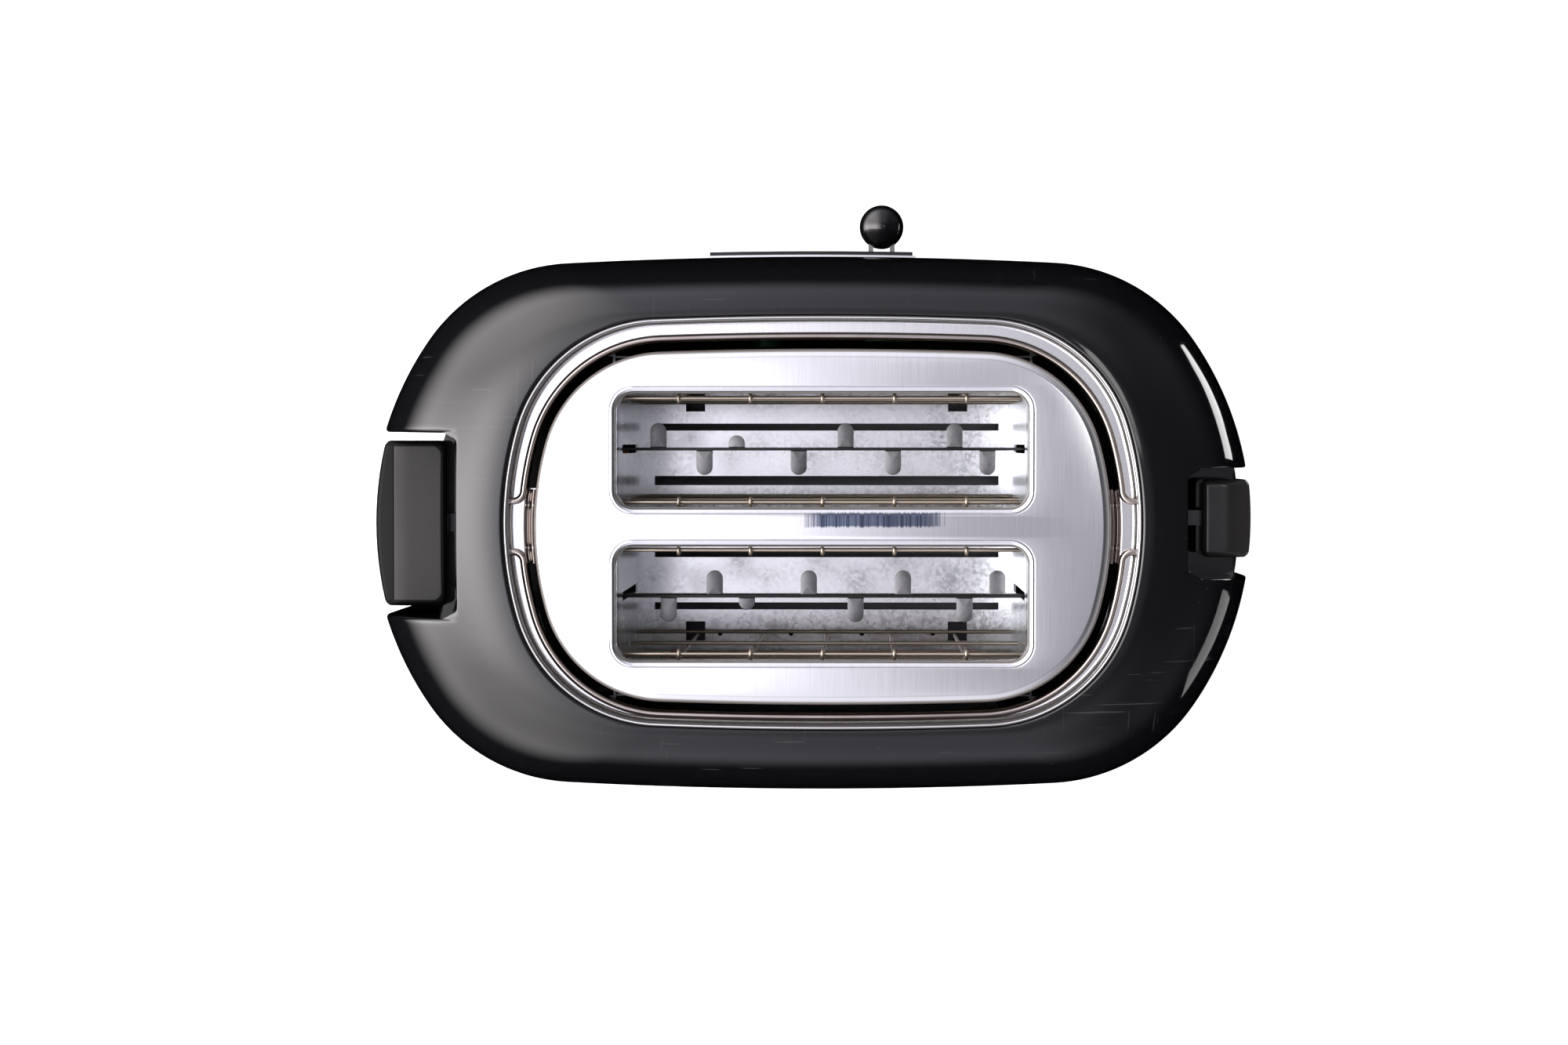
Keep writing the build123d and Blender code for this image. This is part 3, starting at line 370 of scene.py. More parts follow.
@dataclass(frozen=True)
class GlossMoulding(Finish):
    """Glossy black plastic with fine dust, faint hairline scratches and a trace of orange peel."""

    dust: float = 0.25
    dust_tone: Colour = (0.32, 0.32, 0.34)
    speck_scale: float = 420.0
    peel_scale: float = 180.0
    hair: tuple[float, float, float] = (40.0, 900.0, 40.0)
    hair_turn: float = 0.9
    cross_hair: tuple[float, float, float] = (1100.0, 30.0, 50.0)
    cross_turn: float = 0.3
    hair_z: tuple[float, float] = (0.125, 0.155)
    hair_tone: float = 0.06
    hair_rough: float = 0.14

    def varied(self, paint: Paint) -> dict[str, Signal]:
        """Dust specks, hairlines in roughness, and a slow swell of the surface.

        Args:
            paint: The material's nodes.

        Returns:
            Signals by socket name.
        """
        point = paint.object_point()
        specks = 1.0 - paint.cells(point, self.speck_scale).ramp(0.02, 0.09)
        sparse = paint.noise(point, 60.0, 3.0).ramp(0.58, 0.66)
        dust = specks * sparse * self.dust
        lengthwise = paint.object_point(self.hair, (0.0, 0.0, self.hair_turn))
        crosswise = paint.object_point(self.cross_hair, (0.0, 0.0, self.cross_turn))
        hair = paint.noise(lengthwise, 1.0, 1.0).ramp(0.70, 0.74)
        other = paint.noise(crosswise, 1.0, 1.0).ramp(0.72, 0.76)
        patch = paint.noise(point, 22.0, 2.0).ramp(0.5, 0.62)
        hairs = (hair + other) * patch * paint.axis("Z").ramp(*self.hair_z)
        smear = paint.noise(point, 35.0, 4.0, 0.6)
        return {
            "Base Color": paint.blend(dust + self.hair_tone * hairs, self.colour, self.dust_tone),
            "Roughness": self.rough + 0.05 * smear + self.hair_rough * hairs + 0.5 * dust,
            "Normal": paint.bump(paint.noise(point, self.peel_scale, 1.0), 0.05, 0.0002),
        }


@dataclass(frozen=True)
class GrainedPlastic(Finish):
    """Matte plastic with a fine eroded grain."""

    grain: float = 2600.0
    depth: float = 0.00006

    def varied(self, paint: Paint) -> dict[str, Signal]:
        """Grain in the bump, and a slight change of tone where hands rub.

        Args:
            paint: The material's nodes.

        Returns:
            Signals by socket name.
        """
        point = paint.object_point()
        pits = paint.cells(point, self.grain)
        fine = paint.noise(point, self.grain * 1.5, 2.0)
        rubbed = paint.noise(point, 40.0, 3.0)
        pale = tuple(1.5 * value + 0.008 for value in self.colour)
        return {
            "Base Color": paint.blend(rubbed * 0.5 + fine * 0.5, self.colour, pale),
            "Roughness": self.rough - 0.12 + 0.2 * rubbed,
            "Normal": paint.bump(pits + 0.5 * fine, 0.6, self.depth),
        }


@dataclass(frozen=True)
class BrushedSteel(Finish):
    """Polished sheet with fine brush lines along one direction."""

    stretch: tuple[float, float, float] = (5200.0, 60.0, 60.0)
    line: float = 0.06

    def varied(self, paint: Paint) -> dict[str, Signal]:
        """Brush lines in tone and roughness, and faint wipe marks.

        Args:
            paint: The material's nodes.

        Returns:
            Signals by socket name.
        """
        lines = paint.noise(paint.object_point(self.stretch), 1.0, 3.0, 0.7)
        wipes = paint.noise(paint.object_point(), 28.0, 3.0)
        tint = tuple(0.93 * value for value in self.colour)
        return {
            "Base Color": paint.blend(lines.ramp(0.3, 0.7), tint, self.colour),
            "Roughness": self.rough + self.line * lines + 0.05 * wipes,
            "Normal": paint.bump(lines, 0.1, 0.00001),
        }


@dataclass(frozen=True)
class PlateWithPaintedLight(BrushedSteel):
    """Plate steel with brush lines, a streaky blue painted reflection between the slots, and painted
    shade on its rolled edges and slot hems.
    """

    reflection_x: tuple[float, float] = (-0.0402, -0.0020)
    reflection_y: tuple[float, float] = (0.0065, 0.0108)
    reflection_dark: Colour = (0.05, 0.062, 0.10)
    reflection_pale: Colour = (0.24, 0.28, 0.38)
    reflection_streak_x: float = 0.016
    reflection_streak_y: float = 0.002
    # heights and tone of the painted shade on the rolled edges and slot hems
    edge_shade_z: tuple[float, float] = (0.1834, 0.18494)
    edge_shade_tone: Colour = (0.15, 0.128, 0.12)

    def varied(self, paint: Paint) -> dict[str, Signal]:
        """Brush lines, the painted reflection as a soft blue field with streaked ends, and the painted
        shade below the top.

        Args:
            paint: The material's nodes.

        Returns:
            Signals by socket name.
        """
        found = super().varied(paint)
        streaks = paint.noise(paint.object_point((2200.0, 8.0, 8.0)), 1.0, 2.0, 0.8)
        x = paint.axis("X") + (streaks - 0.5) * self.reflection_streak_x
        y = paint.axis("Y") + (streaks - 0.5) * self.reflection_streak_y
        # painted reflection: a blue field between the slots, with streaked ends, darkens the bright
        # steel as if it mirrored something dark
        inside = x.ramp(self.reflection_x[0] - 0.004, self.reflection_x[0] + 0.002)
        inside = inside * (1.0 - x.ramp(self.reflection_x[1] - 0.002, self.reflection_x[1] + 0.004))
        inside = inside * y.ramp(self.reflection_y[0] - 0.0006, self.reflection_y[0] + 0.0004)
        inside = inside * (1.0 - y.ramp(self.reflection_y[1] - 0.0004, self.reflection_y[1] + 0.0004))
        blue = paint.blend(streaks.ramp(0.3, 0.75), self.reflection_dark, self.reflection_pale)
        with_reflection = paint.blend(inside, found["Base Color"], blue)
        # painted shade: below the top, the rolled edges and slot hems turn dark brown-grey and dull
        edge = 1.0 - paint.axis("Z").ramp(*self.edge_shade_z)
        found["Base Color"] = paint.blend(edge, with_reflection, self.edge_shade_tone)
        found["Metallic"] = 1.0 - 0.85 * edge
        return found


@dataclass(frozen=True)
class Galvanised(Finish):
    """Zinc-coated sheet: mottled spangle, grey stains and dark specks."""

    spangle: float = 900.0
    fleck: float = 260.0
    fleck_tone: Colour = (0.05, 0.045, 0.04)

    def varied(self, paint: Paint) -> dict[str, Signal]:
        """Spangle cells in tone and roughness, stains and specks in tone.

        Args:
            paint: The material's nodes.

        Returns:
            Signals by socket name.
        """
        point = paint.object_point()
        cell = paint.part(paint.cells(point, self.spangle, "Color"), "X")
        stain = paint.noise(point, 55.0, 5.0, 0.6)
        fleck = 1.0 - paint.cells(point, self.fleck).ramp(0.03, 0.10)
        fleck = fleck * paint.noise(point, 90.0, 2.0).ramp(0.60, 0.66)
        dark = tuple(0.82 * value for value in self.colour)
        tone = paint.blend((stain * 0.75 + cell * 0.25).ramp(0.25, 0.6), dark, self.colour)
        return {
            "Base Color": paint.blend(fleck * 0.7, tone, self.fleck_tone),
            "Roughness": self.rough + 0.07 * cell + 0.08 * stain,
            "Normal": paint.bump(cell, 0.06, 0.00003),
        }


@dataclass(frozen=True)
class ZincWithPaintedShade(Galvanised):
    """Zinc sheet whose upper parts outside the slots' width, under the plate, are painted near black as
    painted shade.
    """

    middle_y: float = 0.0109
    unshaded_half: float = 0.051
    shade_from_z: float = 0.150
    shade_tone: Colour = (0.006, 0.006, 0.006)

    def varied(self, paint: Paint) -> dict[str, Signal]:
        """The sheet's own spangle, and painted shade outside the slots near the top.

        Args:
            paint: The material's nodes.

        Returns:
            Signals by socket name.
        """
        found = super().varied(paint)
        aside = (paint.axis("Y") - self.middle_y).size()
        # painted shade: outside the slots' width and above the given height the sheet turns near black
        share = aside.ramp(self.unshaded_half, self.unshaded_half + 0.003)
        share = share * paint.axis("Z").ramp(self.shade_from_z, self.shade_from_z + 0.01)
        found["Base Color"] = paint.blend(share * 0.97, found["Base Color"], self.shade_tone)
        return found


@dataclass(frozen=True)
class ShadedLiftSheet(Galvanised):
    """Zinc strip on edge with its bent tabs, darkened all over as a painted dark reflection, with a
    painted shade line along its upper edge.
    """

    middle_y: float = 0.0106
    bar_half: float = 0.0247
    shade_line_half: float = 0.0007
    edge_shade_tone: Colour = (0.012, 0.012, 0.012)

    def varied(self, paint: Paint) -> dict[str, Signal]:
        """The sheet's own spangle, and a painted shade line along the strip's upper edge.

        Args:
            paint: The material's nodes.

        Returns:
            Signals by socket name.
        """
        found = super().varied(paint)
        aside = ((paint.axis("Y") - self.middle_y).size() - self.bar_half).size()
        # painted shade: a near-black line along the strip's upper edge
        line = 1.0 - aside.ramp(self.shade_line_half, self.shade_line_half + 0.0002)
        found["Base Color"] = paint.blend(line * 0.9, found["Base Color"], self.edge_shade_tone)
        return found


@dataclass(frozen=True)
class DrawnWire(Finish):
    """Drawn wire with fine lengthwise variation and a warm heat tint."""

    warm: Colour = (0.5, 0.4, 0.3)
    share: float = 0.5

    def varied(self, paint: Paint) -> dict[str, Signal]:
        """Heat tint in slow clouds and drawing marks in the roughness.

        Args:
            paint: The material's nodes.

        Returns:
            Signals by socket name.
        """
        point = paint.object_point()
        cloud = paint.noise(point, 70.0, 3.0)
        marks = paint.noise(paint.object_point((60.0, 2500.0, 2500.0)), 1.0, 2.0)
        return {
            "Base Color": paint.blend(cloud.ramp(0.35, 0.65) * self.share, self.colour, self.warm),
            "Roughness": self.rough + 0.12 * marks,
        }


@dataclass(frozen=True)
class Rubbed(Finish):
    """A plain working surface with slow clouds of tone and fine roughness."""

    scale: float = 120.0
    deep: float = 0.00003

    def varied(self, paint: Paint) -> dict[str, Signal]:
        """Clouds of tone and a fine bump.

        Args:
            paint: The material's nodes.

        Returns:
            Signals by socket name.
        """
        point = paint.object_point()
        cloud = paint.noise(point, self.scale, 4.0, 0.6)
        fine = paint.noise(point, 1800.0, 2.0)
        dark = tuple(0.7 * value for value in self.colour)
        return {
            "Base Color": paint.blend(cloud, dark, self.colour),
            "Roughness": self.rough - 0.06 + 0.16 * cloud,
            "Normal": paint.bump(fine, 0.35, self.deep),
        }


@dataclass(frozen=True)
class RingChrome(Finish):
    """Bright ring steel brushed across its band, read from the ring's own UV map, with painted shade on
    its outer wall and cove.

    The map's v runs round the ring's section: first up the outer wall and over its edge, then
    down to the floor, over the floor's inner edge and back underneath.
    """

    edge_v: tuple[float, float, float, float] = (0.15, 0.17, 0.19, 0.215)
    wall_shade_v: tuple[float, float] = (0.40, 0.44)
    brim_v: tuple[float, float] = (0.65, 0.71)
    wall_shade_tone: Colour = (0.035, 0.03, 0.03)
    brim_tone: Colour = (0.36, 0.31, 0.28)

    def varied(self, paint: Paint) -> dict[str, Signal]:
        """Short brush lines across the band, faint clouds along it, and painted shade on the outer wall
        and the cove.

        Args:
            paint: The material's nodes.

        Returns:
            Signals by socket name.
        """
        lines = paint.noise(paint.uv("band", (900.0, 3.0, 1.0)), 1.0, 3.0, 0.7)
        cloud = paint.noise(paint.uv("band", (14.0, 1.0, 1.0)), 1.0, 2.0)
        dark = tuple(0.86 * value for value in self.colour)
        tone = paint.blend(lines.ramp(0.3, 0.7) * 0.6 + cloud * 0.3, self.colour, dark)
        across = paint.part(paint.uv("band", (1.0, 1.0, 1.0)), "Y")
        line = across.ramp(*self.edge_v[:2]) * (1.0 - across.ramp(*self.edge_v[2:]))
        # painted shade: the outer wall and the cove turn near black and dull, all but a thin line at the
        # rim's edge
        wall = (1.0 - across.ramp(*self.wall_shade_v)) * (1.0 - line)
        brim = across.ramp(*self.brim_v)
        tone = paint.blend(wall * 0.95, tone, self.wall_shade_tone)
        return {
            "Base Color": paint.blend(brim, tone, self.brim_tone),
            "Metallic": 1.0 - 0.9 * wall,
            "Roughness": self.rough + 0.08 * lines + 0.04 * cloud,
            "Normal": paint.bump(lines, 0.12, 0.00001),
        }


BLACK = (0.0026, 0.0025, 0.0031)
GLOSS = GlossMoulding("gloss_black_moulding", BLACK, 0.035)
LEVER = GlossMoulding("lever_moulding", (0.021, 0.0195, 0.0195), 0.13, dust=0.1)
GRIP = GlossMoulding("grip_moulding", (0.0018, 0.0018, 0.0018), 0.30, shine=0.05, dust=0.05)
PAD = GrainedPlastic("grained_pad", (0.0125, 0.0118, 0.0118), 0.62, slot="pad_black", shine=0.32)
SATIN = GrainedPlastic("satin_black", (0.008, 0.008, 0.009), 0.42, slot="satin_black", grain=1800.0)
RUBBER = GrainedPlastic("foot_rubber", (0.014, 0.014, 0.014), 0.85, slot="rubber_black", grain=900.0)
# a darker, browner copy of the bright chrome: painted shade on the bridges, so that their ribs read as
# stripes
SHADED_RIB = BrushedSteel("rib_steel_painted_shade", (0.30, 0.265, 0.245), 0.16, 1.0, "bright_chrome", line=0.03)
CHROME = BrushedSteel("bright_trim", (0.86, 0.86, 0.87), 0.07, 1.0, "bright_chrome", line=0.03)
RING = RingChrome("ring_steel", (0.90, 0.90, 0.91), 0.10, 1.0, "bright_chrome")
PLATE = PlateWithPaintedLight("plate_steel", (0.88, 0.885, 0.90), 0.10, 1.0, "polished_steel")
RACK = DrawnWire(
    "rack_wire", (0.50, 0.45, 0.42), 0.10, 1.0, "bright_wire", warm=(0.34, 0.28, 0.24), share=0.4
)
GUARD = DrawnWire(
    "guard_wire", (0.22, 0.18, 0.14), 0.20, 1.0, "guard_wire", warm=(0.10, 0.07, 0.045), share=0.7
)
ZINC = Galvanised("zinc_sheet", (0.95, 0.96, 0.98), 0.10, 1.0, "galvanised")
WALL = ZincWithPaintedShade("zinc_wall", (0.84, 0.88, 0.92), 0.16, 1.0, "galvanised")
# lift bars: galvanised zinc darkened far below the other zinc sheet, a painted dark reflection
DARKENED_STRIP = ShadedLiftSheet("lift_sheet_painted_dark", (0.165, 0.166, 0.17), 0.26, 1.0, "galvanised")
LINK = Rubbed("dark_steel", (0.22, 0.21, 0.21), 0.30, 1.0, "plain_steel")
# plain steel darkened as painted shade: the crumb tray and the cam and bracket below the chamber are
# made dark as if lying in shade
SHADED_TRAY = Rubbed("tray_sheet_painted_shade", (0.10, 0.10, 0.105), 0.42, 1.0, "plain_steel")
STEEL = Rubbed("plain_steel", (0.52, 0.52, 0.53), 0.32, 1.0, "plain_steel")
MICA = Rubbed("mica_board", (0.50, 0.45, 0.36), 0.55, 0.0, "mica", scale=300.0)
RIBBON = DrawnWire(
    "heater_ribbon", (0.30, 0.20, 0.14), 0.38, 1.0, "ribbon", warm=(0.16, 0.08, 0.05), share=0.6
)
COPPER = DrawnWire(
    "magnet_coil", (0.62, 0.28, 0.12), 0.35, 1.0, "copper", warm=(0.40, 0.14, 0.06), share=0.5
)
BOARD = Rubbed("circuit_board", (0.02, 0.13, 0.05), 0.45, 0.0, "board_green", scale=400.0)

NODE_FINISH: dict[str, Finish] = {
    "housing_shell": GLOSS,
    "base_pan": SATIN,
    "rubber_feet": RUBBER,
    "base_screws": STEEL,
    "chrome_ring": CHROME,
    "top_plate": PLATE,
    "rack_wire_front": RACK,
    "rack_wire_rear": RACK,
    "rack_cam": SHADED_TRAY,
    "rack_bracket": STEEL,
    "rack_lever": LEVER,
    "bread_lever": GRIP,
    "lever_pad": PAD,
    "carriage_bar_front": DARKENED_STRIP,
    "carriage_bar_rear": DARKENED_STRIP,
    "lift_bracket": SHADED_TRAY,
    "far_slider": STEEL,
    "armature": STEEL,
    "electromagnet": COPPER,
    "guide_rod": STEEL,
    "mech_bracket": ZINC,
    "return_spring": STEEL,
    "end_plate_lever": WALL,
    "end_plate_rack": WALL,
    "reflector_front": WALL,
    "reflector_rear": WALL,
    "chamber_floor": ZINC,
    "heater_board_front": MICA,
    "heater_board_centre": MICA,
    "heater_board_rear": MICA,
    "heater_ribbons": RIBBON,
    "panel_bezel": CHROME,
    "control_panel": GLOSS,
    "stop_button": SATIN,
    "defrost_button": SATIN,
    "reheat_button": SATIN,
    "circuit_board": BOARD,
    "browning_pot": SATIN,
    "slider_bracket": LINK,
    "ball_knob": GLOSS,
    "crumb_tray": SHADED_TRAY,
    "tray_front": SATIN,
    "cord_gland": RUBBER,
    "bread_guard_1": GUARD,
    "bread_guard_2": GUARD,
    "bread_guard_3": GUARD,
    "bread_guard_4": GUARD,
}


def dress(obj: Any, finish: Finish) -> None:
    """Gives an object one finish in place of whatever it had.

    Args:
        obj: A node of the frame.
        finish: Its finish.
    """
    obj.data.materials.clear()
    obj.data.materials.append(finish.material())


@dataclass(frozen=True)
class Loaf:
    """A rounded outline seen from above: two side bows, two end bows and four corners."""

    length: float
    width: float
    side_bow: float
    end_bow: float
    corner: float

    def sizes(self) -> Array:
        """Length, width and the three radii."""
        return np.array([self.length, self.width, self.side_bow, self.end_bow, self.corner])

    def grown(self, by: float) -> "Loaf":
        """The same outline, moved outwards evenly."""
        return Loaf(*(self.sizes() + by * np.array([2, 2, 1, 1, 1])))

    def blended(self, other: "Loaf", share: float) -> "Loaf":
        """An outline on the way from this one (share 0) to another (share 1)."""
        return Loaf(*(self.sizes() + (other.sizes() - self.sizes()) * share))

    def marks(self) -> tuple[Array, Array, Array]:
        """Finds where the arcs meet, in the quarter of +X and +Y.

        The corner arc touches both bows from inside, so its middle lies where two circles
        about the middles of the bows cross.

        Returns:
            The side bow's end, the end bow's end and the corner's middle, each as x, y.
        """
        side_centre = np.array([0.0, self.width / 2 - self.side_bow])
        end_centre = np.array([self.length / 2 - self.end_bow, 0.0])
        side_reach = self.side_bow - self.corner
        end_reach = self.end_bow - self.corner
        apart = end_centre - side_centre
        gap = math.hypot(*apart)
        along = (side_reach**2 - end_reach**2 + gap**2) / (2 * gap)
        across = math.sqrt(side_reach**2 - along**2)
        unit = apart / gap
        centre = side_centre + unit * along + np.array([unit[1], -unit[0]]) * across
        to_side = (centre - side_centre) / side_reach
        to_end = (centre - end_centre) / end_reach
        return side_centre + to_side * self.side_bow, end_centre + to_end * self.end_bow, centre

    def reach(self, y: Any) -> Array:
        """Distance of the outline's end from the middle, at sideways distances y.

        It is the end bow up to the corner's start and the corner's arc beyond it.

        Args:
            y: One distance or an array of them, of either sign.

        Returns:
            The distances along X.
        """
        y = np.abs(np.asarray(y, float))
        _, end, centre = self.marks()
        bow = self.length / 2 - self.end_bow + np.sqrt(np.maximum(self.end_bow**2 - y**2, 0))
        bend = centre[0] + np.sqrt(np.maximum(self.corner**2 - (y - centre[1]) ** 2, 0))
        return np.where(y <= end[1], bow, bend)

    def bend(self, start_y: float, steps: int) -> Array:
        """Points from a place on the end to the start of the side.

        Rays leave the corner's middle at even angles; each meets the corner arc, or the end
        bow where it lies below the arc's start.

        Args:
            start_y: Sideways distance of the first point.
            steps: Number of steps.

        Returns:
            Array of x, y with steps + 1 points.
        """
        side, end, centre = self.marks()
        first = math.atan2(start_y - centre[1], float(self.reach(start_y)) - centre[0])
        last = math.atan2(side[1] - centre[1], side[0] - centre[0])
        turn = np.linspace(first, last, steps + 1)
        ray = np.stack([np.cos(turn), np.sin(turn)], -1)
        offset = centre - np.array([self.length / 2 - self.end_bow, 0.0])
        part = ray @ offset
        bow = -part + np.sqrt(part**2 - offset @ offset + self.end_bow**2)
        low = math.atan2(end[1] - centre[1], end[0] - centre[0])
        return centre + ray * np.where(turn < low, bow, self.corner)[:, None]

    def side(self, steps: int) -> Array:
        """Points of the side bow between its two ends, both left out, from +X to -X.

        Args:
            steps: Steps from end to end.

        Returns:
            Array of x, y, evenly spaced along X.
        """
        start, _, _ = self.marks()
        x = start[0] * np.linspace(1, -1, steps + 1)[1:-1]
        return np.stack([x, self.width / 2 - self.side_bow + np.sqrt(self.side_bow**2 - x**2)], -1)

    def ring(self, end: int = 20, corner: int = 30, side: int = 44) -> Array:
        """The whole outline, counter-clockwise from the middle of the +X end.

        Args:
            end: Steps of half an end bow.
            corner: Steps of a corner arc.
            side: Steps of a side bow.

        Returns:
            Array of x, y.
        """
        _, mark, _ = self.marks()
        y = mark[1] * np.arange(end) / end
        first = np.stack([self.reach(y), y], -1)
        corner_points = self.bend(mark[1], corner)
        upper = np.concatenate([first, corner_points, self.side(side), corner_points[::-1] * FLIP_X])
        upper = np.concatenate([upper, first[::-1] * FLIP_X])
        return np.concatenate([upper, upper[-2:0:-1] * FLIP_Y])


FLIP_X = np.array([-1.0, 1.0])
FLIP_Y = np.array([1.0, -1.0])
BODY = Loaf(294.0, 178.0, 1600.0, 107.0, 60.0)
BODY_X, BODY_Y = 4.4, -0.3
OPENING = Loaf(205.8, 133.6, 1400.0, 110.0, 48.5)
OPENING_Y = -1.4
PLATE_OUTLINE = Loaf(186.2, 114.8, 1500.0, 100.0, 40.0)
GUTTER_GAP = 3.0


def level(outline: Array, z: float, x: float = 0.0, y: float = 0.0) -> Array:
    """Lifts an outline of x, y to a height and moves it sideways."""
    return np.column_stack([outline[:, 0] + x, outline[:, 1] + y, np.full(len(outline), z)])


def soft_excess(value: Array, reach: float) -> Array:
    """The value where it is positive, else zero, with a parabola between -reach and reach.

    Args:
        value: An array of values.
        reach: Half the width of the parabola.

    Returns:
        The array, (value + reach)^2 / (4 reach) in the parabola.
    """
    value = np.asarray(value, float)
    bend = (value + reach) ** 2 / (4 * reach)
    return np.where(value > reach, value, np.where(value < -reach, 0.0, bend))


def quarter_turn(steps: int) -> Array:
    """Angles from 0 to a right angle."""
    return np.linspace(0.0, math.pi / 2, steps + 1)


def eased(low: float, high: float, ease: float, steps: int) -> list[tuple[float, float]]:
    """Levels of an upright wall whose lower and upper edges are quarter circles.

    Args:
        low: Lower height.
        high: Upper height.
        ease: Radius of both edges.
        steps: Steps of each edge.

    Returns:
        Pairs of how far the wall is drawn in and its height.
    """
    angles = quarter_turn(steps)
    lower = [(ease * (1 - math.sin(a)), low + ease * (1 - math.cos(a))) for a in angles]
    return lower + [(ease * (1 - math.cos(a)), high - ease * (1 - math.sin(a))) for a in angles]


def round_box(half_x: float, half_y: float, radii: Sequence[float], steps: int = 6) -> Array:
    """A rectangle about the origin with its own radius at each corner.

    Args:
        half_x: Half its length along X.
        half_y: Half its length along Y.
        radii: Radii at (+,+), (-,+), (-,-) and (+,-).
        steps: Steps of each corner; a side has twice as many.

    Returns:
        Array of x, y, counter-clockwise.
    """
    signs = ((1, 1), (-1, 1), (-1, -1), (1, -1))
    corners = []
    for number, ((sx, sy), radius) in enumerate(zip(signs, radii)):
        turn = math.pi / 2 * number + quarter_turn(steps)
        middle = np.array([sx * (half_x - radius), sy * (half_y - radius)])
        corners.append(middle + radius * np.stack([np.cos(turn), np.sin(turn)], -1))
    share = np.linspace(0, 1, 2 * steps + 1)[1:-1, None]
    parts = []
    for number, corner in enumerate(corners):
        after = corners[(number + 1) % 4][0]
        parts += [corner, corner[-1] + (after - corner[-1]) * share]
    return np.concatenate(parts)


def circle(radius: float, count: int = 24) -> Array:
    """Points of a circle about the origin, counter-clockwise from +X."""
    turn = np.linspace(0, 2 * math.pi, count, endpoint=False)
    return radius * np.stack([np.cos(turn), np.sin(turn)], -1)


class Patchwork:
    """Collects patches of one surface and makes a single mesh of them."""

    slanted: Sequence[float] = (0.31, 0.52, 0.79)

    def __init__(self, layout: Layout) -> None:
        """Starts with no patches.

        Args:
            layout: Carries the points into the frame.
        """
        self.layout = layout
        self.points: list[Array] = []
        self.faces: list[Array] = []
        self.count = 0

    def rows(
        self, rows: Sequence[Array], joined: bool = False, facing: Facing = Facing.AS_LAID
    ) -> Array:
        """Adds closed rings that follow one another.

        Args:
            rows: Rings of x, y, z, all of one length.
            joined: Whether the last ring joins the first.
            facing: As laid, rings counter-clockwise and upwards face outwards.

        Returns:
            The point numbers, ring by ring.
        """
        grid = np.stack(rows)
        high, wide = grid.shape[:2]
        number = np.arange(high * wide).reshape(high, wide) + self.count
        after = np.roll(number, -1, 1)
        quads = np.stack([number, after, np.roll(after, -1, 0), np.roll(number, -1, 0)], -1)
        quads = (quads if joined else quads[:-1]).reshape(-1, 4)
        self.points.append(grid.reshape(-1, 3))
        self.faces.append(quads[:, :: facing.value])
        self.count += high * wide
        return number

    def fan(self, ring: Array, tip: Sequence[float], facing: Facing = Facing.AS_LAID) -> None:
        """Closes a ring with triangles to a new tip.

        Args:
            ring: Point numbers.
            tip: The tip's x, y, z.
            facing: As laid, a counter-clockwise ring faces upwards.
        """
        self.points.append(np.asarray(tip, float)[None])
        faces = np.column_stack([ring, np.roll(ring, -1), np.full(len(ring), self.count)])
        self.faces.append(faces[:, :: facing.value])
        self.count += 1

    def fill(self, loops: Sequence[Array]) -> None:
        """Fills a level field, facing upwards.

        Args:
            loops: Rings of point numbers, its rim first and then its holes.
        """
        points = np.concatenate(self.points)
        found = tessellate_polygon([[Vector(p) for p in points[loop]] for loop in loops])
        number = np.concatenate(loops)
        faces = number[np.array(found)]
        a, b, c = (points[faces[:, k]] for k in range(3))
        wrong = np.cross(b - a, c - a)[:, 2] < 0
        faces[wrong] = faces[wrong][:, ::-1]
        self.faces.append(faces)

    def block(self, rings: Sequence[Array]) -> None:
        """Adds a closed body, both ends closed by fans to their middles.

        Args:
            rings: Counter-clockwise rings of x, y, z, from the lowest upwards.
        """
        number = self.rows(rings)
        self.fan(number[-1], np.asarray(rings[-1]).mean(0))
        self.fan(number[0], np.asarray(rings[0]).mean(0), Facing.REVERSED)

    def slab(
        self, outline: Outline, low: float, high: float, ease: float, turn: Move | None = None
    ) -> None:
        """Adds a flat piece whose edges are rounded by insetting its outline.

        Args:
            outline: Function of an inset that gives the outline as x, y.
            low: Its lower height.
            high: Its upper height.
            ease: Radius of its edges.
            turn: Carries the points of the piece somewhere else.
        """
        rings = [level(outline(inset), z) for inset, z in eased(low, high, ease, 4)]
        self.block([turn(ring) for ring in rings] if turn else rings)

    def tube(self, path: Array, radius: float, around: int = 12, ease: float = 0.35) -> None:
        """Adds round wire along a path, with eased tips.

        Each ring lies across the mean of the two steps beside it. The frame is carried
        along by taking from the last side vector its part along the new direction.

        Args:
            path: Points of x, y, z.
            radius: Radius of the wire.
            around: Points of a ring.
            ease: Share of the radius by which the tips are rounded.
        """
        path = np.asarray(path, float)
        step = np.diff(path, axis=0)
        step /= np.linalg.norm(step, axis=1, keepdims=True)
        along = np.concatenate([step[:1], step[:-1] + step[1:], step[-1:]])
        along /= np.linalg.norm(along, axis=1, keepdims=True)
        side = np.cross(along[0], self.slanted)
        sides = []
        for way in along:
            side = side - way * (side @ way)
            side /= np.linalg.norm(side)
            sides.append(side)
        side = np.array(sides)
        up = np.cross(along, side)
        turn = np.linspace(0, 2 * math.pi, around, endpoint=False)
        spoke = side[:, None] * np.cos(turn)[:, None] + up[:, None] * np.sin(turn)[:, None]
        rings = list(path[:, None] + spoke * radius)
        bend = quarter_turn(2)[1:]
        shrink = 1 - ease * (1 - np.cos(bend))
        push = ease * np.sin(bend) * radius
        start = [path[0] + spoke[0] * radius * s - along[0] * p for s, p in zip(shrink, push)]
        end = [path[-1] + spoke[-1] * radius * s + along[-1] * p for s, p in zip(shrink, push)]
        self.block(start[::-1] + rings + end)

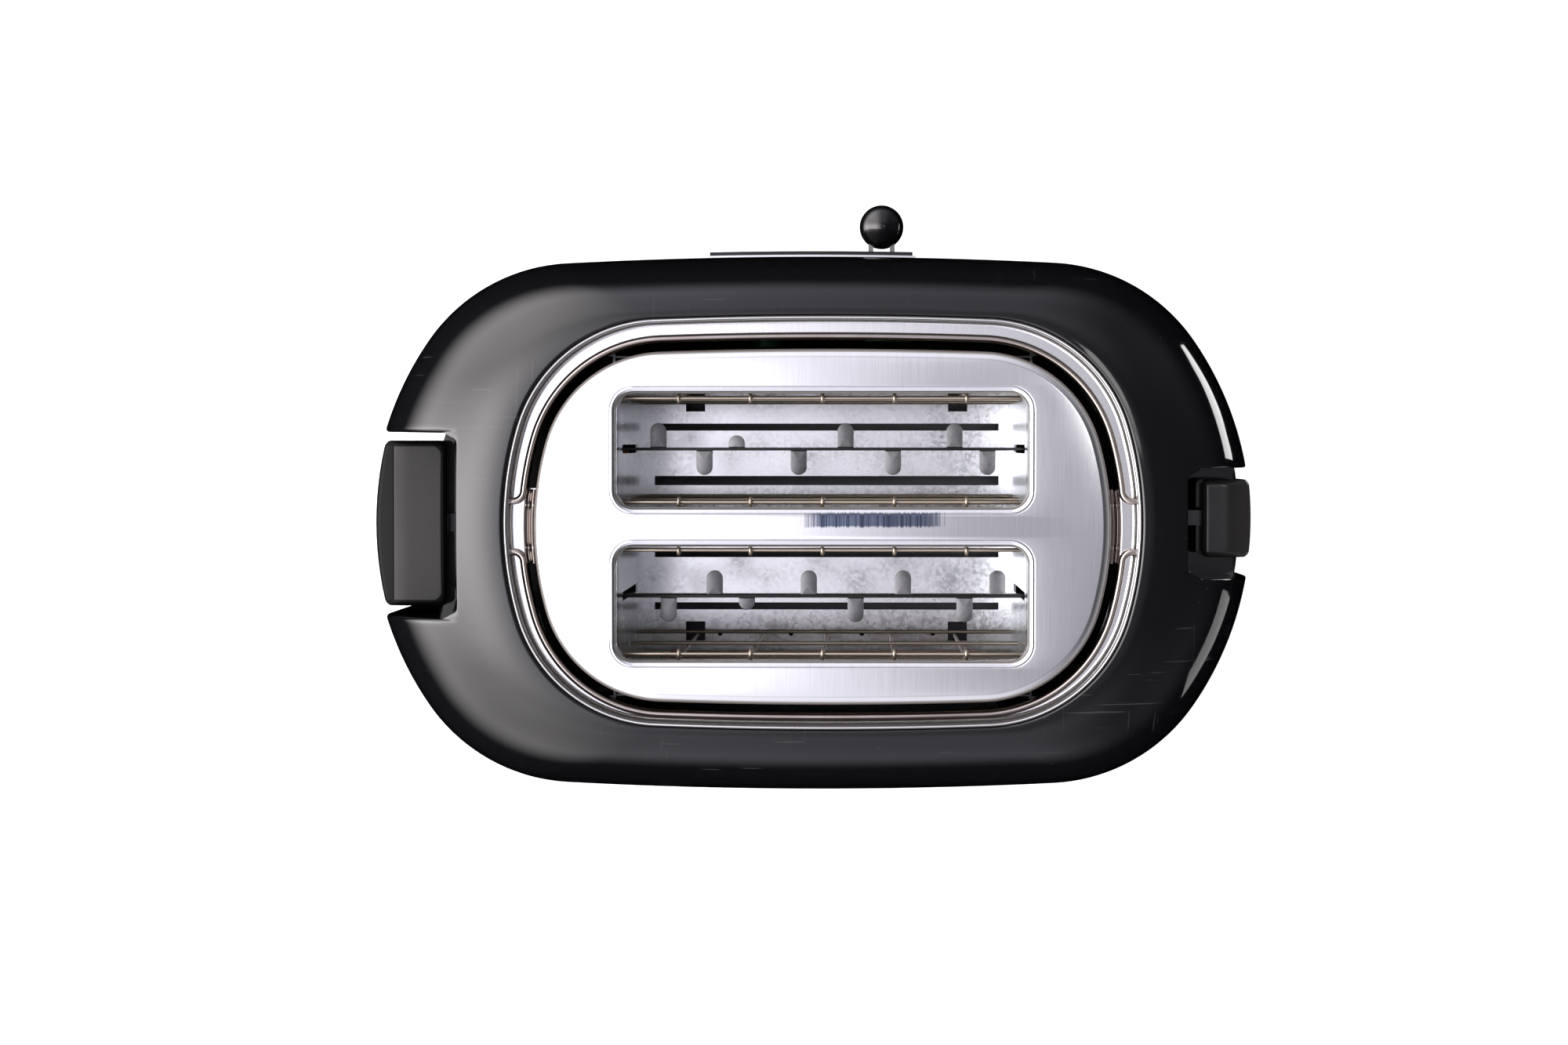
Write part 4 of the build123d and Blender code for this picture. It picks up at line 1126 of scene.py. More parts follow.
    def object(self, name: str, finish: Finish, sharp: float = 35.0) -> Any:
        """Makes the mesh, smooth apart from edges over an angle in degrees.

        Args:
            name: The object's name.
            finish: Its finish.
            sharp: Angle over which an edge stays sharp.

        Returns:
            The new object.
        """
        mesh = bpy.data.meshes.new(name)
        points = self.layout.place(np.concatenate(self.points))
        corners = np.concatenate([np.full(len(f), f.shape[1]) for f in self.faces]).astype(np.int32)
        loops = np.concatenate([f.ravel() for f in self.faces]).astype(np.int32)
        mesh.vertices.add(len(points))
        mesh.vertices.foreach_set("co", points.astype(np.float32).ravel())
        mesh.loops.add(len(loops))
        mesh.loops.foreach_set("vertex_index", loops)
        mesh.polygons.add(len(corners))
        starts = np.concatenate([[0], np.cumsum(corners)[:-1]]).astype(np.int32)
        mesh.polygons.foreach_set("loop_start", starts)
        mesh.update(calc_edges=True)
        mesh.validate()
        mesh.polygons.foreach_set("use_smooth", np.ones(len(mesh.polygons), bool))
        mesh.set_sharp_from_angle(angle=math.radians(sharp))
        obj = bpy.data.objects.new(name, mesh)
        bpy.context.scene.collection.objects.link(obj)
        obj.data.materials.append(finish.material())
        log.info("%s: %d points", name, len(points))
        return obj


def settle(obj: Any, finish: Finish, body: str, *nodes: str) -> None:
    """Gives a piece to its body and lets it take the place of nodes.

    Args:
        obj: The piece.
        finish: Not used.
        body: The body that it moves with.
        nodes: The nodes that it stands for.
    """
    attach(obj, body)
    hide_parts(*nodes)


@dataclass(frozen=True)
class Notch:
    """The space cut into one end of the housing for a lever."""

    end: End
    floor_x: float
    low_y: float
    high_y: float
    edge: float = 0.9
    corner: float = 5.0
    soft: float = 1.0
    edge_steps: int = 4
    wall_steps: int = 7
    corner_steps: int = 6
    floor_lines: int = 22
    free_lines: int = 5

    def grown(self, by: float) -> "Notch":
        """The notch with its faces moved outwards, as the inner side of its wall has them.

        Args:
            by: How far they are moved.

        Returns:
            The wider notch.
        """
        low, high = self.low_y - by, self.high_y + by
        return replace(
            self, floor_x=self.floor_x - by, low_y=low, high_y=high, corner=self.corner + by
        )

    def wall(self, outline: Loaf, x: float, y: float, out: int, limit: float) -> Array:
        """Lines of one side wall: round edge, straight wall, round inner corner.

        All lines have a place on the uncut surface, spread evenly over the width of edge and
        corner. As the notch gets deeper they move from there to the wall: the edge lines to
        y = w + e (1 - sin a) and depth e (1 - cos a), the straight lines to y = w and even
        depths, the corner lines to y = w - r (1 - cos b) and depth D - r (1 - sin b).

        Args:
            outline: The housing's outline at this height.
            x: Shift of the outline along X.
            y: Shift of the outline along Y.
            out: Which way is outside, -1 at the low wall and 1 at the high wall.
            limit: Greatest depth at this height.

        Returns:
            Array of x, y, from the outside inwards.
        """
        place = self.high_y if out > 0 else self.low_y
        depth = self.depth(outline, x, y, place, limit)
        share = min(1.0, float(depth) / (self.edge + self.corner))
        edge, corner = self.edge * share, self.corner * share
        a = quarter_turn(self.edge_steps)
        b = quarter_turn(self.corner_steps)
        s = np.arange(1, self.wall_steps) / self.wall_steps
        line_y = np.concatenate([edge * (1 - np.sin(a)), 0 * s, -corner * (1 - np.cos(b))])
        spread = np.linspace(self.edge, -self.corner, len(line_y))
        line_y = place + out * (share * line_y + (1 - share) * spread)
        full = self.depth(outline, x, y, line_y, limit)
        cut = np.concatenate(
            [
                edge * (1 - np.cos(a)),
                edge + s * (full[len(a) : -len(b)] - corner - edge),
                full[-len(b) :] - corner * (1 - np.sin(b)),
            ]
        )
        return np.stack([self.surface(outline, x, y, line_y) - np.minimum(cut, full), line_y], -1)

    def surface(self, outline: Loaf, x: float, y: float, line_y: Any) -> Array:
        """Distance of the uncut surface from the middle, on this notch's side."""
        return self.end.value * x + outline.reach(np.asarray(line_y) - y)

    def depth(self, outline: Loaf, x: float, y: float, line_y: Any, limit: float) -> Array:
        """How deep the notch is below the uncut surface."""
        excess = self.surface(outline, x, y, line_y) - self.floor_x
        return np.minimum(soft_excess(excess, self.soft), limit)

    def lines(self, outline: Loaf, x: float, y: float, split: float, limit: float) -> Array:
        """The lines of a whole end, from low to high y.

        Args:
            outline: The housing's outline at this height.
            x: Shift of the outline along X.
            y: Shift of the outline along Y.
            split: Where the corners of the housing take over, plus and minus.
            limit: Greatest depth at this height.

        Returns:
            Array of x, y, with x as the distance from the middle.
        """
        free = np.arange(1, self.free_lines + 1) / (self.free_lines + 1)
        low = -split + (self.low_y - self.edge + split) * free
        high = self.high_y + self.edge + (split - self.high_y - self.edge) * free
        share = np.arange(1, self.floor_lines) / self.floor_lines
        inner = self.low_y + self.corner + (self.high_y - self.low_y - 2 * self.corner) * share
        floor = self.surface(outline, x, y, inner) - self.depth(outline, x, y, inner, limit)
        return np.concatenate(
            [
                np.stack([self.surface(outline, x, y, low), low], -1),
                self.wall(outline, x, y, -1, limit),
                np.stack([floor, inner], -1),
                self.wall(outline, x, y, 1, limit)[::-1],
                np.stack([self.surface(outline, x, y, high), high], -1),
            ]
        )


@dataclass(frozen=True)
class Upright:
    """An upright body with nearly square corners seen from above: a cut, or a strip on edge."""

    half: tuple[float, float]
    middle: tuple[float, float]
    heights: tuple[float, float]
    corner: float = 0.5

    def outline(self, inset: float, steps: int = 6) -> Array:
        """Its outline, drawn in by an inset."""
        half_x, half_y = self.half
        return round_box(half_x - inset, half_y - inset, [self.corner] * 4, steps) + self.middle


@dataclass(frozen=True)
class Hole:
    """A round cut through a side wall, along Y."""

    radius: float
    middle: tuple[float, float, float]
    reach: tuple[float, float] = (14.0, -5.0)

    def rings(self) -> list[Array]:
        """Its two ends."""
        x, y, z = self.middle
        return [upright_ring(circle(self.radius), x, y + reach, z) for reach in self.reach]


@dataclass
class Housing:
    """The glossy moulding: loaf form, shoulder, opening and the notches of both levers."""

    layout: Layout
    skirt_z: float = 10.0
    widest_z: float = 136.0
    rim_z: float = 186.0
    inset: float = 3.0
    thick: float = 2.6
    rim_round: float = 0.8
    split: float = 38.0
    ledge_z: float = 106.0
    bread: Notch = Notch(End.LEVER, 118.1, -30.7, 30.1, edge=1.5)
    rack: Notch = Notch(End.RACK, 117.7, -18.9, 17.1)
    low_levels: tuple[float, ...] = (10.0, 12.0, 16.0, 24.0, 36.0, 50.0, 64.0)
    below_ledge: tuple[float, ...] = (78.0, 90.0, 99.0, 103.0)
    above_ledge: tuple[float, ...] = (107.0, 112.0, 118.0, 124.0, 130.0)
    inner_levels: tuple[float, ...] = (60.0, 36.0, 10.0)
    ledge_depths: tuple[float, float, int] = (3.0, 30.0, 7)
    ledge_rise: float = 0.02
    bend_steps: int = 26
    side_steps: int = 40
    windows: tuple[Upright, ...] = (
        Upright((2.3, 4.2), (115.8, -0.3), (61.0, 138.0)),
        Upright((2.3, 3.5), (-116.4, -2.0), (118.2, 137.0)),
        Upright((31.2, 25.0), (4.4, -106.0), (76.4, 81.6)),
        Upright((69.4, 35.0), (0.0, 95.0), (9.0, 24.4)),
    )
    holes: tuple[Hole, ...] = (
        Hole(5.3, (-15.6, -95.0, 57.0)),
        Hole(5.3, (4.4, -95.0, 57.0)),
        Hole(5.3, (24.4, -95.0, 57.0)),
        Hole(6.6, (84.0, 86.0, 30.0)),
    )

    def ring(
        self,
        outline: Loaf,
        z: float,
        x: float,
        y: float,
        grow: float = 0.0,
        limit: float = math.inf,
    ) -> Array:
        """One level of the surface, with both notches cut in.

        Args:
            outline: The outline at this height, already grown.
            z: The height.
            x: Shift of the outline along X.
            y: Shift of the outline along Y.
            grow: How far the notches' walls lie outside their faces; the inner side has one.
            limit: Greatest depth of the rack notch at this height.

        Returns:
            Array of x, y, z.
        """
        bread = self.bread.grown(grow).lines(outline, x, y, self.split, math.inf)
        rack = self.rack.grown(grow).lines(outline, x, y, self.split, limit)
        shift = np.array([x, y])
        high = outline.bend(self.split - y, self.bend_steps)
        low = outline.bend(self.split + y, self.bend_steps)
        side = outline.side(self.side_steps)
        points = np.concatenate(
            [
                bread,
                high + shift,
                side + shift,
                high[::-1] * FLIP_X + shift,
                rack[::-1] * FLIP_X,
                low * FLIP_X * FLIP_Y + shift,
                side[::-1] * FLIP_Y + shift,
                low[::-1] * FLIP_Y + shift,
            ]
        )
        return level(points, z)

    def wall_ring(self, z: float, grow: float = 0.0, limit: float = math.inf) -> Array:
        """A level of the side wall, which draws in below as a parabola."""
        inset = self.inset * ((self.widest_z - z) / (self.widest_z - self.skirt_z)) ** 2
        return self.ring(BODY.grown(-inset - grow), z, BODY_X, BODY_Y, grow, limit)

    def shoulder_ring(self, degrees: float, grow: float = 0.0) -> Array:
        """A level of the shoulder, whose section is a quarter of an ellipse.

        Args:
            degrees: Its angle in the ellipse, 0 at the widest level and 90 at the rim.
            grow: How far the surface lies inside the outer one.

        Returns:
            Array of x, y, z, as far from body to opening as 1 - cos, and as high as sin.
        """
        angle = math.radians(degrees)
        share = 1 - math.cos(angle)
        outline = BODY.blended(OPENING, share).grown(-grow)
        z = self.widest_z + (self.rim_z - self.widest_z - grow) * math.sin(angle)
        y = BODY_Y + (OPENING_Y - BODY_Y) * share
        return self.ring(outline, z, BODY_X * (1 - share), y, grow)

    def ledge_rings(self, grow: float) -> list[Array]:
        """Levels about the rack notch's floor, which rises by a hair as it gets deeper.

        Args:
            grow: How far the surface lies inside the outer one.

        Returns:
            Levels below the floor, of its round edge, of the floor and above it.
        """
        z = self.ledge_z - grow
        edge = self.rack.edge
        rings = [self.wall_ring(h - grow, grow, 0.0) for h in self.below_ledge]
        for a in quarter_turn(4):
            depth = edge * (1 - math.cos(a))
            rings.append(self.wall_ring(z - edge * (1 - math.sin(a)), grow, depth))
        for step, depth in enumerate(np.linspace(*self.ledge_depths), 1):
            rings.append(self.wall_ring(z + self.ledge_rise * step, grow, depth))
        return rings + [self.wall_ring(h - grow, grow) for h in self.above_ledge]

    def rings(self) -> list[Array]:
        """Levels of the whole surface; the shoulder's are closest where the notches end.

        Returns:
            Rings up the outer side, over the rim and down the inner side.
        """
        outer = [self.wall_ring(z, 0.0, 0.0) for z in self.low_levels]
        outer += self.ledge_rings(0.0)
        fine = [np.arange(0, 60, 2.5), np.arange(60, 78, 0.5), [79, 81, 83, 85, 87, 88.5]]
        outer += [self.shoulder_ring(a) for a in np.concatenate(fine)]
        rim = self.rim_round
        for a in quarter_turn(4):
            z = self.rim_z - rim * (1 - math.cos(a))
            outer.append(self.ring(OPENING.grown(rim * (1 - math.sin(a))), z, 0.0, OPENING_Y))
        inner = [self.ring(OPENING, self.rim_z - self.thick, 0.0, OPENING_Y)]
        coarse = [[80, 78], np.arange(76, 60, -1.0), np.arange(60, -1, -5.0)]
        inner += [self.shoulder_ring(a, self.thick) for a in np.concatenate(coarse)]
        inner += self.ledge_rings(self.thick)[::-1]
        inner += [self.wall_ring(z, self.thick, 0.0) for z in self.inner_levels]
        return outer + inner

    def cutter(self) -> Patchwork:
        """Lever slots, panel slot, tray window and the holes of buttons and cord gland.

        Returns:
            The patches of all cuts, as closed bodies that stand clear of one another.
        """
        cuts = Patchwork(self.layout)
        for window in self.windows:
            cuts.slab(window.outline, *window.heights, 0.0)
        for hole in self.holes:
            cuts.block(hole.rings())
        return cuts

    def build(self) -> None:
        """Builds the moulding and cuts its openings."""
        work = Patchwork(self.layout)
        work.rows(self.rings(), True)
        obj = work.object("housing_moulding", GLOSS, 38.0)
        tool = self.cutter().object("housing_cuts", GLOSS)
        cut(obj, tool)
        settle(obj, GLOSS, "housing", "housing_shell")


def upright_ring(outline: Array, x: float, y: float, z: float) -> Array:
    """Stands an outline up, so that it faces along Y."""
    return np.column_stack([outline[:, 0] + x, np.full(len(outline), y), outline[:, 1] + z])


def cut(obj: Any, tool: Any) -> None:
    """Takes one closed mesh away from another for good and removes the tool.

    Args:
        obj: The mesh that is cut.
        tool: The mesh that is taken away.
    """
    modifier = obj.modifiers.new("cut", "BOOLEAN")
    modifier.operation = "DIFFERENCE"
    modifier.solver = "EXACT"
    modifier.object = tool
    graph = bpy.context.evaluated_depsgraph_get()
    mesh = bpy.data.meshes.new_from_object(obj.evaluated_get(graph))
    obj.modifiers.clear()
    obj.data = mesh
    bpy.data.objects.remove(tool)


@dataclass(frozen=True)
class RingBridge:
    """A ribbed bridge over the gutter's inner gap, at the middle of either end."""

    half: float = 12.0
    over_gutter: float = 0.5
    into_skirt: float = 1.0
    neck_y: float = 6.9
    neck_half: float = 0.8
    neck_sink: float = 0.8
    taper: float = 1.2
    rib: float = 1.1
    below_floor: float = 0.15
    sheet: float = 0.8
    across: int = 24
    along: int = 64

    def rings(self, outer: Loaf, inner: Loaf, floor_z: float, end: End) -> list[Array]:
        """Its sections along Y, one behind the other from the gutter to the skirt.

        Across it two ribs rise as squared sines; along it they sink at the ends and at two
        necks, so that it reads as a middle piece between two short ones.

        Args:
            outer: The inner edge of the gutter.
            inner: The plate's skirt.
            floor_z: Height of the gutter's floor.
            end: The end at which it lies.

        Returns:
            Rings of x, y, z, each the upper line and the lower line back.
        """
        share = np.linspace(0, 1, self.across + 1)
        line = np.linspace(-self.half, self.half, self.along + 1)
        t, y = np.meshgrid(share, line, indexing="ij")
        gutter_x = outer.reach(y) + self.over_gutter
        x = gutter_x * (1 - t) + (inner.reach(y) - self.into_skirt) * t
        neck = np.exp(-(((np.abs(y) - self.neck_y) / self.neck_half) ** 2))
        ends = np.clip((self.half - np.abs(y)) / self.taper, 0, 1)
        ribs = np.sin(2 * math.pi * t) ** 2 * self.rib * (1 - neck * self.neck_sink)
        z = floor_z - self.below_floor + ribs * np.sqrt(ends)
        top = np.stack([end.value * x, y, z], -1)
        low = top - np.array([0, 0, self.sheet])
        return [np.concatenate([above, below[::-1]]) for above, below in zip(top, low)]


@dataclass
class SlotTop:
    """The bright top: gutter ring, slot plate and the bridges between them."""

    layout: Layout
    fit: float = 0.2
    sheet: float = 1.1
    top_z: float = 185.7
    floor_z: float = 176.4
    skirt: float = 2.9
    cove: float = 1.3
    floor_round: float = 0.9
    floor_lines: tuple[float, float, float] = (0.12, 1.3, 1.02)
    plate_z: float = 185.0
    plate_low: float = 176.0
    roll: float = 3.0
    hem: float = 1.6
    slot_half: tuple[float, float] = (67.0, 19.25)
    slot_corner: float = 6.3
    slot_y: float = 24.7
    plate_sheet: float = 0.9
    bridge: RingBridge = RingBridge()

    def outer_ring(self, inset: float, z: float) -> Array:
        """A level of the gutter's outer wall, drawn in from the housing's opening."""
        return level(OPENING.grown(-self.fit - inset).ring(), z, 0.0, OPENING_Y)

    def inner_ring(self, grow: float, z: float) -> Array:
        """A level of the gutter's inner wall, moved outwards from the gap round the plate."""
        return level(PLATE_OUTLINE.grown(GUTTER_GAP + grow).ring(), z)

    def ring_rows(self) -> list[Array]:
        """The gutter's section, from its lower outer edge over wall and floor and back below.

        Its upper edge is a half circle, the cove at the floor's foot and the floor's inner
        edge are quarter circles, and three lines keep the floor between them flat.

        Returns:
            Rings of x, y, z.
        """
        floor, low = self.floor_z, self.floor_z - self.skirt
        half, wall = self.sheet / 2, self.sheet
        rows = [self.outer_ring(0, low), self.outer_ring(0, (low + self.top_z) / 2)]
        for a in quarter_turn(4):
            rows.append(self.outer_ring(half * (1 - math.cos(a)), self.top_z - half * (1 - math.sin(a))))
        for a in quarter_turn(4)[1:]:
            rows.append(self.outer_ring(half * (1 + math.sin(a)), self.top_z - half * (1 - math.cos(a))))
        for a in quarter_turn(8):
            inset = wall + self.cove * (1 - math.cos(a))
            rows.append(self.outer_ring(inset, floor + self.cove * (1 - math.sin(a))))
        foot, outside, inside = self.floor_lines
        rows.append(self.outer_ring(wall + self.cove + foot, floor))
        rows += [self.inner_ring(outside, floor), self.inner_ring(inside, floor)]
        bend = self.floor_round
        for a in quarter_turn(6):
            rows.append(self.inner_ring(bend * (1 - math.sin(a)), floor - bend * (1 - math.cos(a))))
        under = [(0, low), (wall, low), (wall, floor - wall)]
        rows += [self.inner_ring(grow, z) for grow, z in under]
        return rows + [self.outer_ring(wall, floor - wall), self.outer_ring(wall, low)]

    def build_ring(self) -> None:
        """The gutter, with a UV map that runs round it and across it."""
        work = Patchwork(self.layout)
        rows = self.ring_rows()
        work.rows(rows, True, Facing.REVERSED)
        obj = work.object("gutter_ring", RING, 30.0)
        count = len(rows[0])
        mesh = obj.data
        number = np.empty(len(mesh.loops), np.int32)
        mesh.loops.foreach_get("vertex_index", number)
        u = (number % count).reshape(-1, 4) / count
        u = np.where((u < 0.25) & (u.max(1, keepdims=True) > 0.75), u + 1, u)
        v = (number // count).reshape(-1, 4) / len(rows)
        layer = mesh.uv_layers.new(name="band")
        layer.data.foreach_set("uv", np.stack([u, v], -1).astype(np.float32).ravel())
        settle(obj, RING, "housing", "chrome_ring")

    def build_bridge(self, end: End) -> None:
        """One bridge from the gutter to the plate's skirt.

        Args:
            end: The end at which it lies.
        """
        gutter = PLATE_OUTLINE.grown(GUTTER_GAP)
        rings = self.bridge.rings(gutter, PLATE_OUTLINE, self.floor_z, end)
        facing = Facing(-end.value)
        work = Patchwork(self.layout)
        number = work.rows(rings, False, facing)
        work.fan(number[-1], rings[-1].mean(0), facing)
        work.fan(number[0], rings[0].mean(0), facing.other())
        obj = work.object(f"ring_bridge_{end.name.lower()}", SHADED_RIB, 50.0)
        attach(obj, "housing")

    def build_plate(self) -> None:
        """Sheet with a rolled edge and two slots whose hems are drawn down, then thickened."""
        work = Patchwork(self.layout)
        turns = quarter_turn(7)
        middle = (self.plate_low + self.plate_z) / 2
        rows = [level(PLATE_OUTLINE.ring(), z) for z in (self.plate_low, middle)]
        for a in turns:
            outline = PLATE_OUTLINE.grown(-self.roll * (1 - math.cos(a)))
            rows.append(level(outline.ring(), self.plate_z - self.roll * (1 - math.sin(a))))
        loops = [work.rows(rows)[-1]]
        for side in Side:
            y = side.value * self.slot_y
            rows = []
            for a in turns:
                z = self.plate_z - self.hem * (1 - math.cos(a))
                rows.append(level(self.slot(self.hem * (1 - math.sin(a))), z, 0.0, y))
            rows.append(level(self.slot(0.0), self.plate_low, 0.0, y))
            loops.append(work.rows(rows, False, Facing.REVERSED)[0])
        work.fill(loops)
        obj = work.object("slot_plate", PLATE, 30.0)
        thick = obj.modifiers.new("sheet", "SOLIDIFY")
        thick.thickness = self.plate_sheet * self.layout.metre
        thick.offset = -1.0
        settle(obj, PLATE, "housing", "top_plate")

    def slot(self, grow: float) -> Array:
        """The outline of one slot about its own middle, moved outwards."""
        half_x, half_y = self.slot_half
        return round_box(half_x + grow, half_y + grow, [self.slot_corner + grow] * 4, 10)

    def build(self) -> None:
        """Builds ring, bridges and plate."""
        self.build_ring()
        for end in reversed(End):
            self.build_bridge(end)
        self.build_plate()


@dataclass
class BunRack:
    """The two folding wires, each with its crank arm and pin."""

    layout: Layout
    out: float = 1.3
    radius: float = 1.2
    z: float = 177.9
    pivot: float = 8.2
    bend: float = 3.4
    far_x: float = 104.5
    crank_x: tuple[float, float] = (-104.3, -109.0)
    crank_arm: float = 11.0
    crank_thick: float = 2.0
    crank_ease: float = 0.2
    pin: float = 1.1
    pin_long: float = 3.3
    around: int = 16

    def path(self, near_x: float) -> Array:
        """Axle, bend, round the ring, bend, axle.

        Args:
            near_x: Where the axle ends, beside the crank arm.

        Returns:
            Array of x, y of the rear wire; the front one has y reversed.
        """
        outline = PLATE_OUTLINE.grown(GUTTER_GAP + self.out)
        start_y = self.pivot + self.bend
        start_x = float(outline.reach(start_y))
        turn = quarter_turn(8)[:-1]
        hook_x = start_x + self.bend * (1 - np.sin(turn))
        hook = np.stack([hook_x, start_y - self.bend * np.cos(turn)], -1)
        loop = outline.ring()
        loop = loop[: len(loop) // 2 + 1]
        loop = loop[loop[:, 1] > start_y + 0.5]
        start = np.array([[start_x, start_y]])
        right = np.concatenate([[[self.far_x, self.pivot]], hook, start])
        left = np.concatenate([[[near_x, self.pivot]], hook * FLIP_X, start * FLIP_X])
        return np.concatenate([right, loop, left[::-1]])

    def crank(self, inset: float) -> Array:
        """The crank arm's outline, round at both ends, drawn in by an inset."""
        end = self.radius - inset
        return round_box(self.crank_arm / 2 + end, end, [end - 0.05] * 4)

    def stood(self, ring: Array, x: float, y: float) -> Array:
        """A level ring stood up across X, its length along Y."""
        return np.column_stack([ring[:, 2] + x, ring[:, 0] + y, ring[:, 1] + self.z])

    def build_wire(self, side: Side, near: float) -> None:
        """One wire with its crank arm and pin.

        Args:
            side: The slot that it borders.
            near: Middle of its crank arm along X.
        """
        half = self.crank_thick / 2
        work = Patchwork(self.layout)
        wire = level(self.path(near + half) * (1.0, side.value), self.z)
        work.tube(wire, self.radius, self.around)
        middle = side.value * (self.pivot - self.crank_arm / 2)
        stand = partial(self.stood, x=near, y=middle)
        work.slab(self.crank, -half, half, self.crank_ease, stand)
        y = side.value * (self.pivot - self.crank_arm)
        pin = np.array([[near, y, self.z], [near - self.pin_long, y, self.z]])
        work.tube(pin, self.pin, self.around)
        name = side.name.lower()
        obj = work.object(f"rack_loop_{name}", RACK, 40.0)
        settle(obj, RACK, f"rack_{name}", f"rack_wire_{name}")

    def build(self) -> None:
        """Builds both wires."""
        for side, near in zip(Side, self.crank_x):
            self.build_wire(side, near)


@dataclass
class BreadGuards:
    """Four wire guards: three long wires and five uprights hooked over the top one."""

    layout: Layout
    places: tuple[float, ...] = (-41.7, -7.7, 7.7, 41.7)
    radius: float = 0.65
    low: float = 40.0
    mid: float = 111.0
    top: float = 172.0
    half: float = 66.4
    pivot_half: float = 69.0
    pitch: float = 23.4
    count: int = 5
    upright_share: float = 0.96
    hook: float = 225.0
    hook_steps: int = 12
    straight: int = 6
    along: int = 9

    def upright(self, x: float, y: float, out: int) -> Array:
        """The path of one upright: up beside the wires, over the top one and a short tail.

        Args:
            x: Its place along the guard.
            y: Middle of the guard's long wires.
            out: Which side of them it stands on, -1 or 1.

        Returns:
            Array of x, y, z.
        """
        reach = 2 * self.radius
        turn = np.linspace(0, math.radians(self.hook), self.hook_steps + 1)
        straight_z = np.linspace(self.low - self.radius, self.top - 1.0, self.straight)
        straight_y = np.full(self.straight, y + out * reach)
        path_y = np.concatenate([straight_y, y + out * reach * np.cos(turn)])
        path_z = np.concatenate([straight_z, self.top + reach * np.sin(turn)])
        return np.column_stack([np.full(len(path_y), x), path_y, path_z])

    def build(self) -> None:
        """Builds the four guards."""
        names = ("one", "two", "three", "four")
        for number, (y, body) in enumerate(zip(self.places, names), 1):
            out = -1 if number % 2 else 1
            work = Patchwork(self.layout)
            for z, half in ((self.low, self.pivot_half), (self.mid, self.half), (self.top, self.half)):
                x = np.linspace(-half, half, self.along)
                work.tube(np.column_stack([x, np.full_like(x, y), np.full_like(x, z)]), self.radius)
            for k in range(self.count):
                path = self.upright(self.pitch * (k - (self.count - 1) / 2), y, out)
                work.tube(path, self.radius * self.upright_share)
            obj = work.object(f"guard_{body}_wires", GUARD, 40.0)
            settle(obj, GUARD, f"guard_{body}", f"bread_guard_{number}")


@dataclass(frozen=True)
class Tab:
    """A tab bent level from the upper edge of a lift bar, and tilted a little."""

    x: float
    way: int
    reach: float
    tilt: float = 0.0
    half: float = 2.7
    sheet: float = 0.8
    root: float = 0.15

    def outline(self, inset: float) -> Array:
        """Its outline seen from above.

        Args:
            inset: How far it is drawn in.

        Returns:
            Array of x, y about its own middle, with a round tip and a nearly square root.
        """
        tip = self.half - inset - 0.02
        radii = [tip, tip, self.root, self.root]
        radii = radii if self.way > 0 else radii[::-1]
        return round_box(self.half - inset, self.reach / 2 - inset, radii, 8)

    def lay(self, ring: Array, y: float, top: float) -> Array:
        """Tilts a level ring along X and brings it to its place.

        Args:
            ring: Points of x, y, z about its own middle.
            y: The bar's middle.
            top: The bar's upper edge, which no point of the tab passes.

        Returns:
            The points in place.
        """
        z = top - self.sheet / 2 + ring[:, 2] - abs(self.tilt) * self.half + self.tilt * ring[:, 0]
        middle = y + self.way * self.reach / 2
        return np.column_stack([ring[:, 0] + self.x, ring[:, 1] + middle, z])


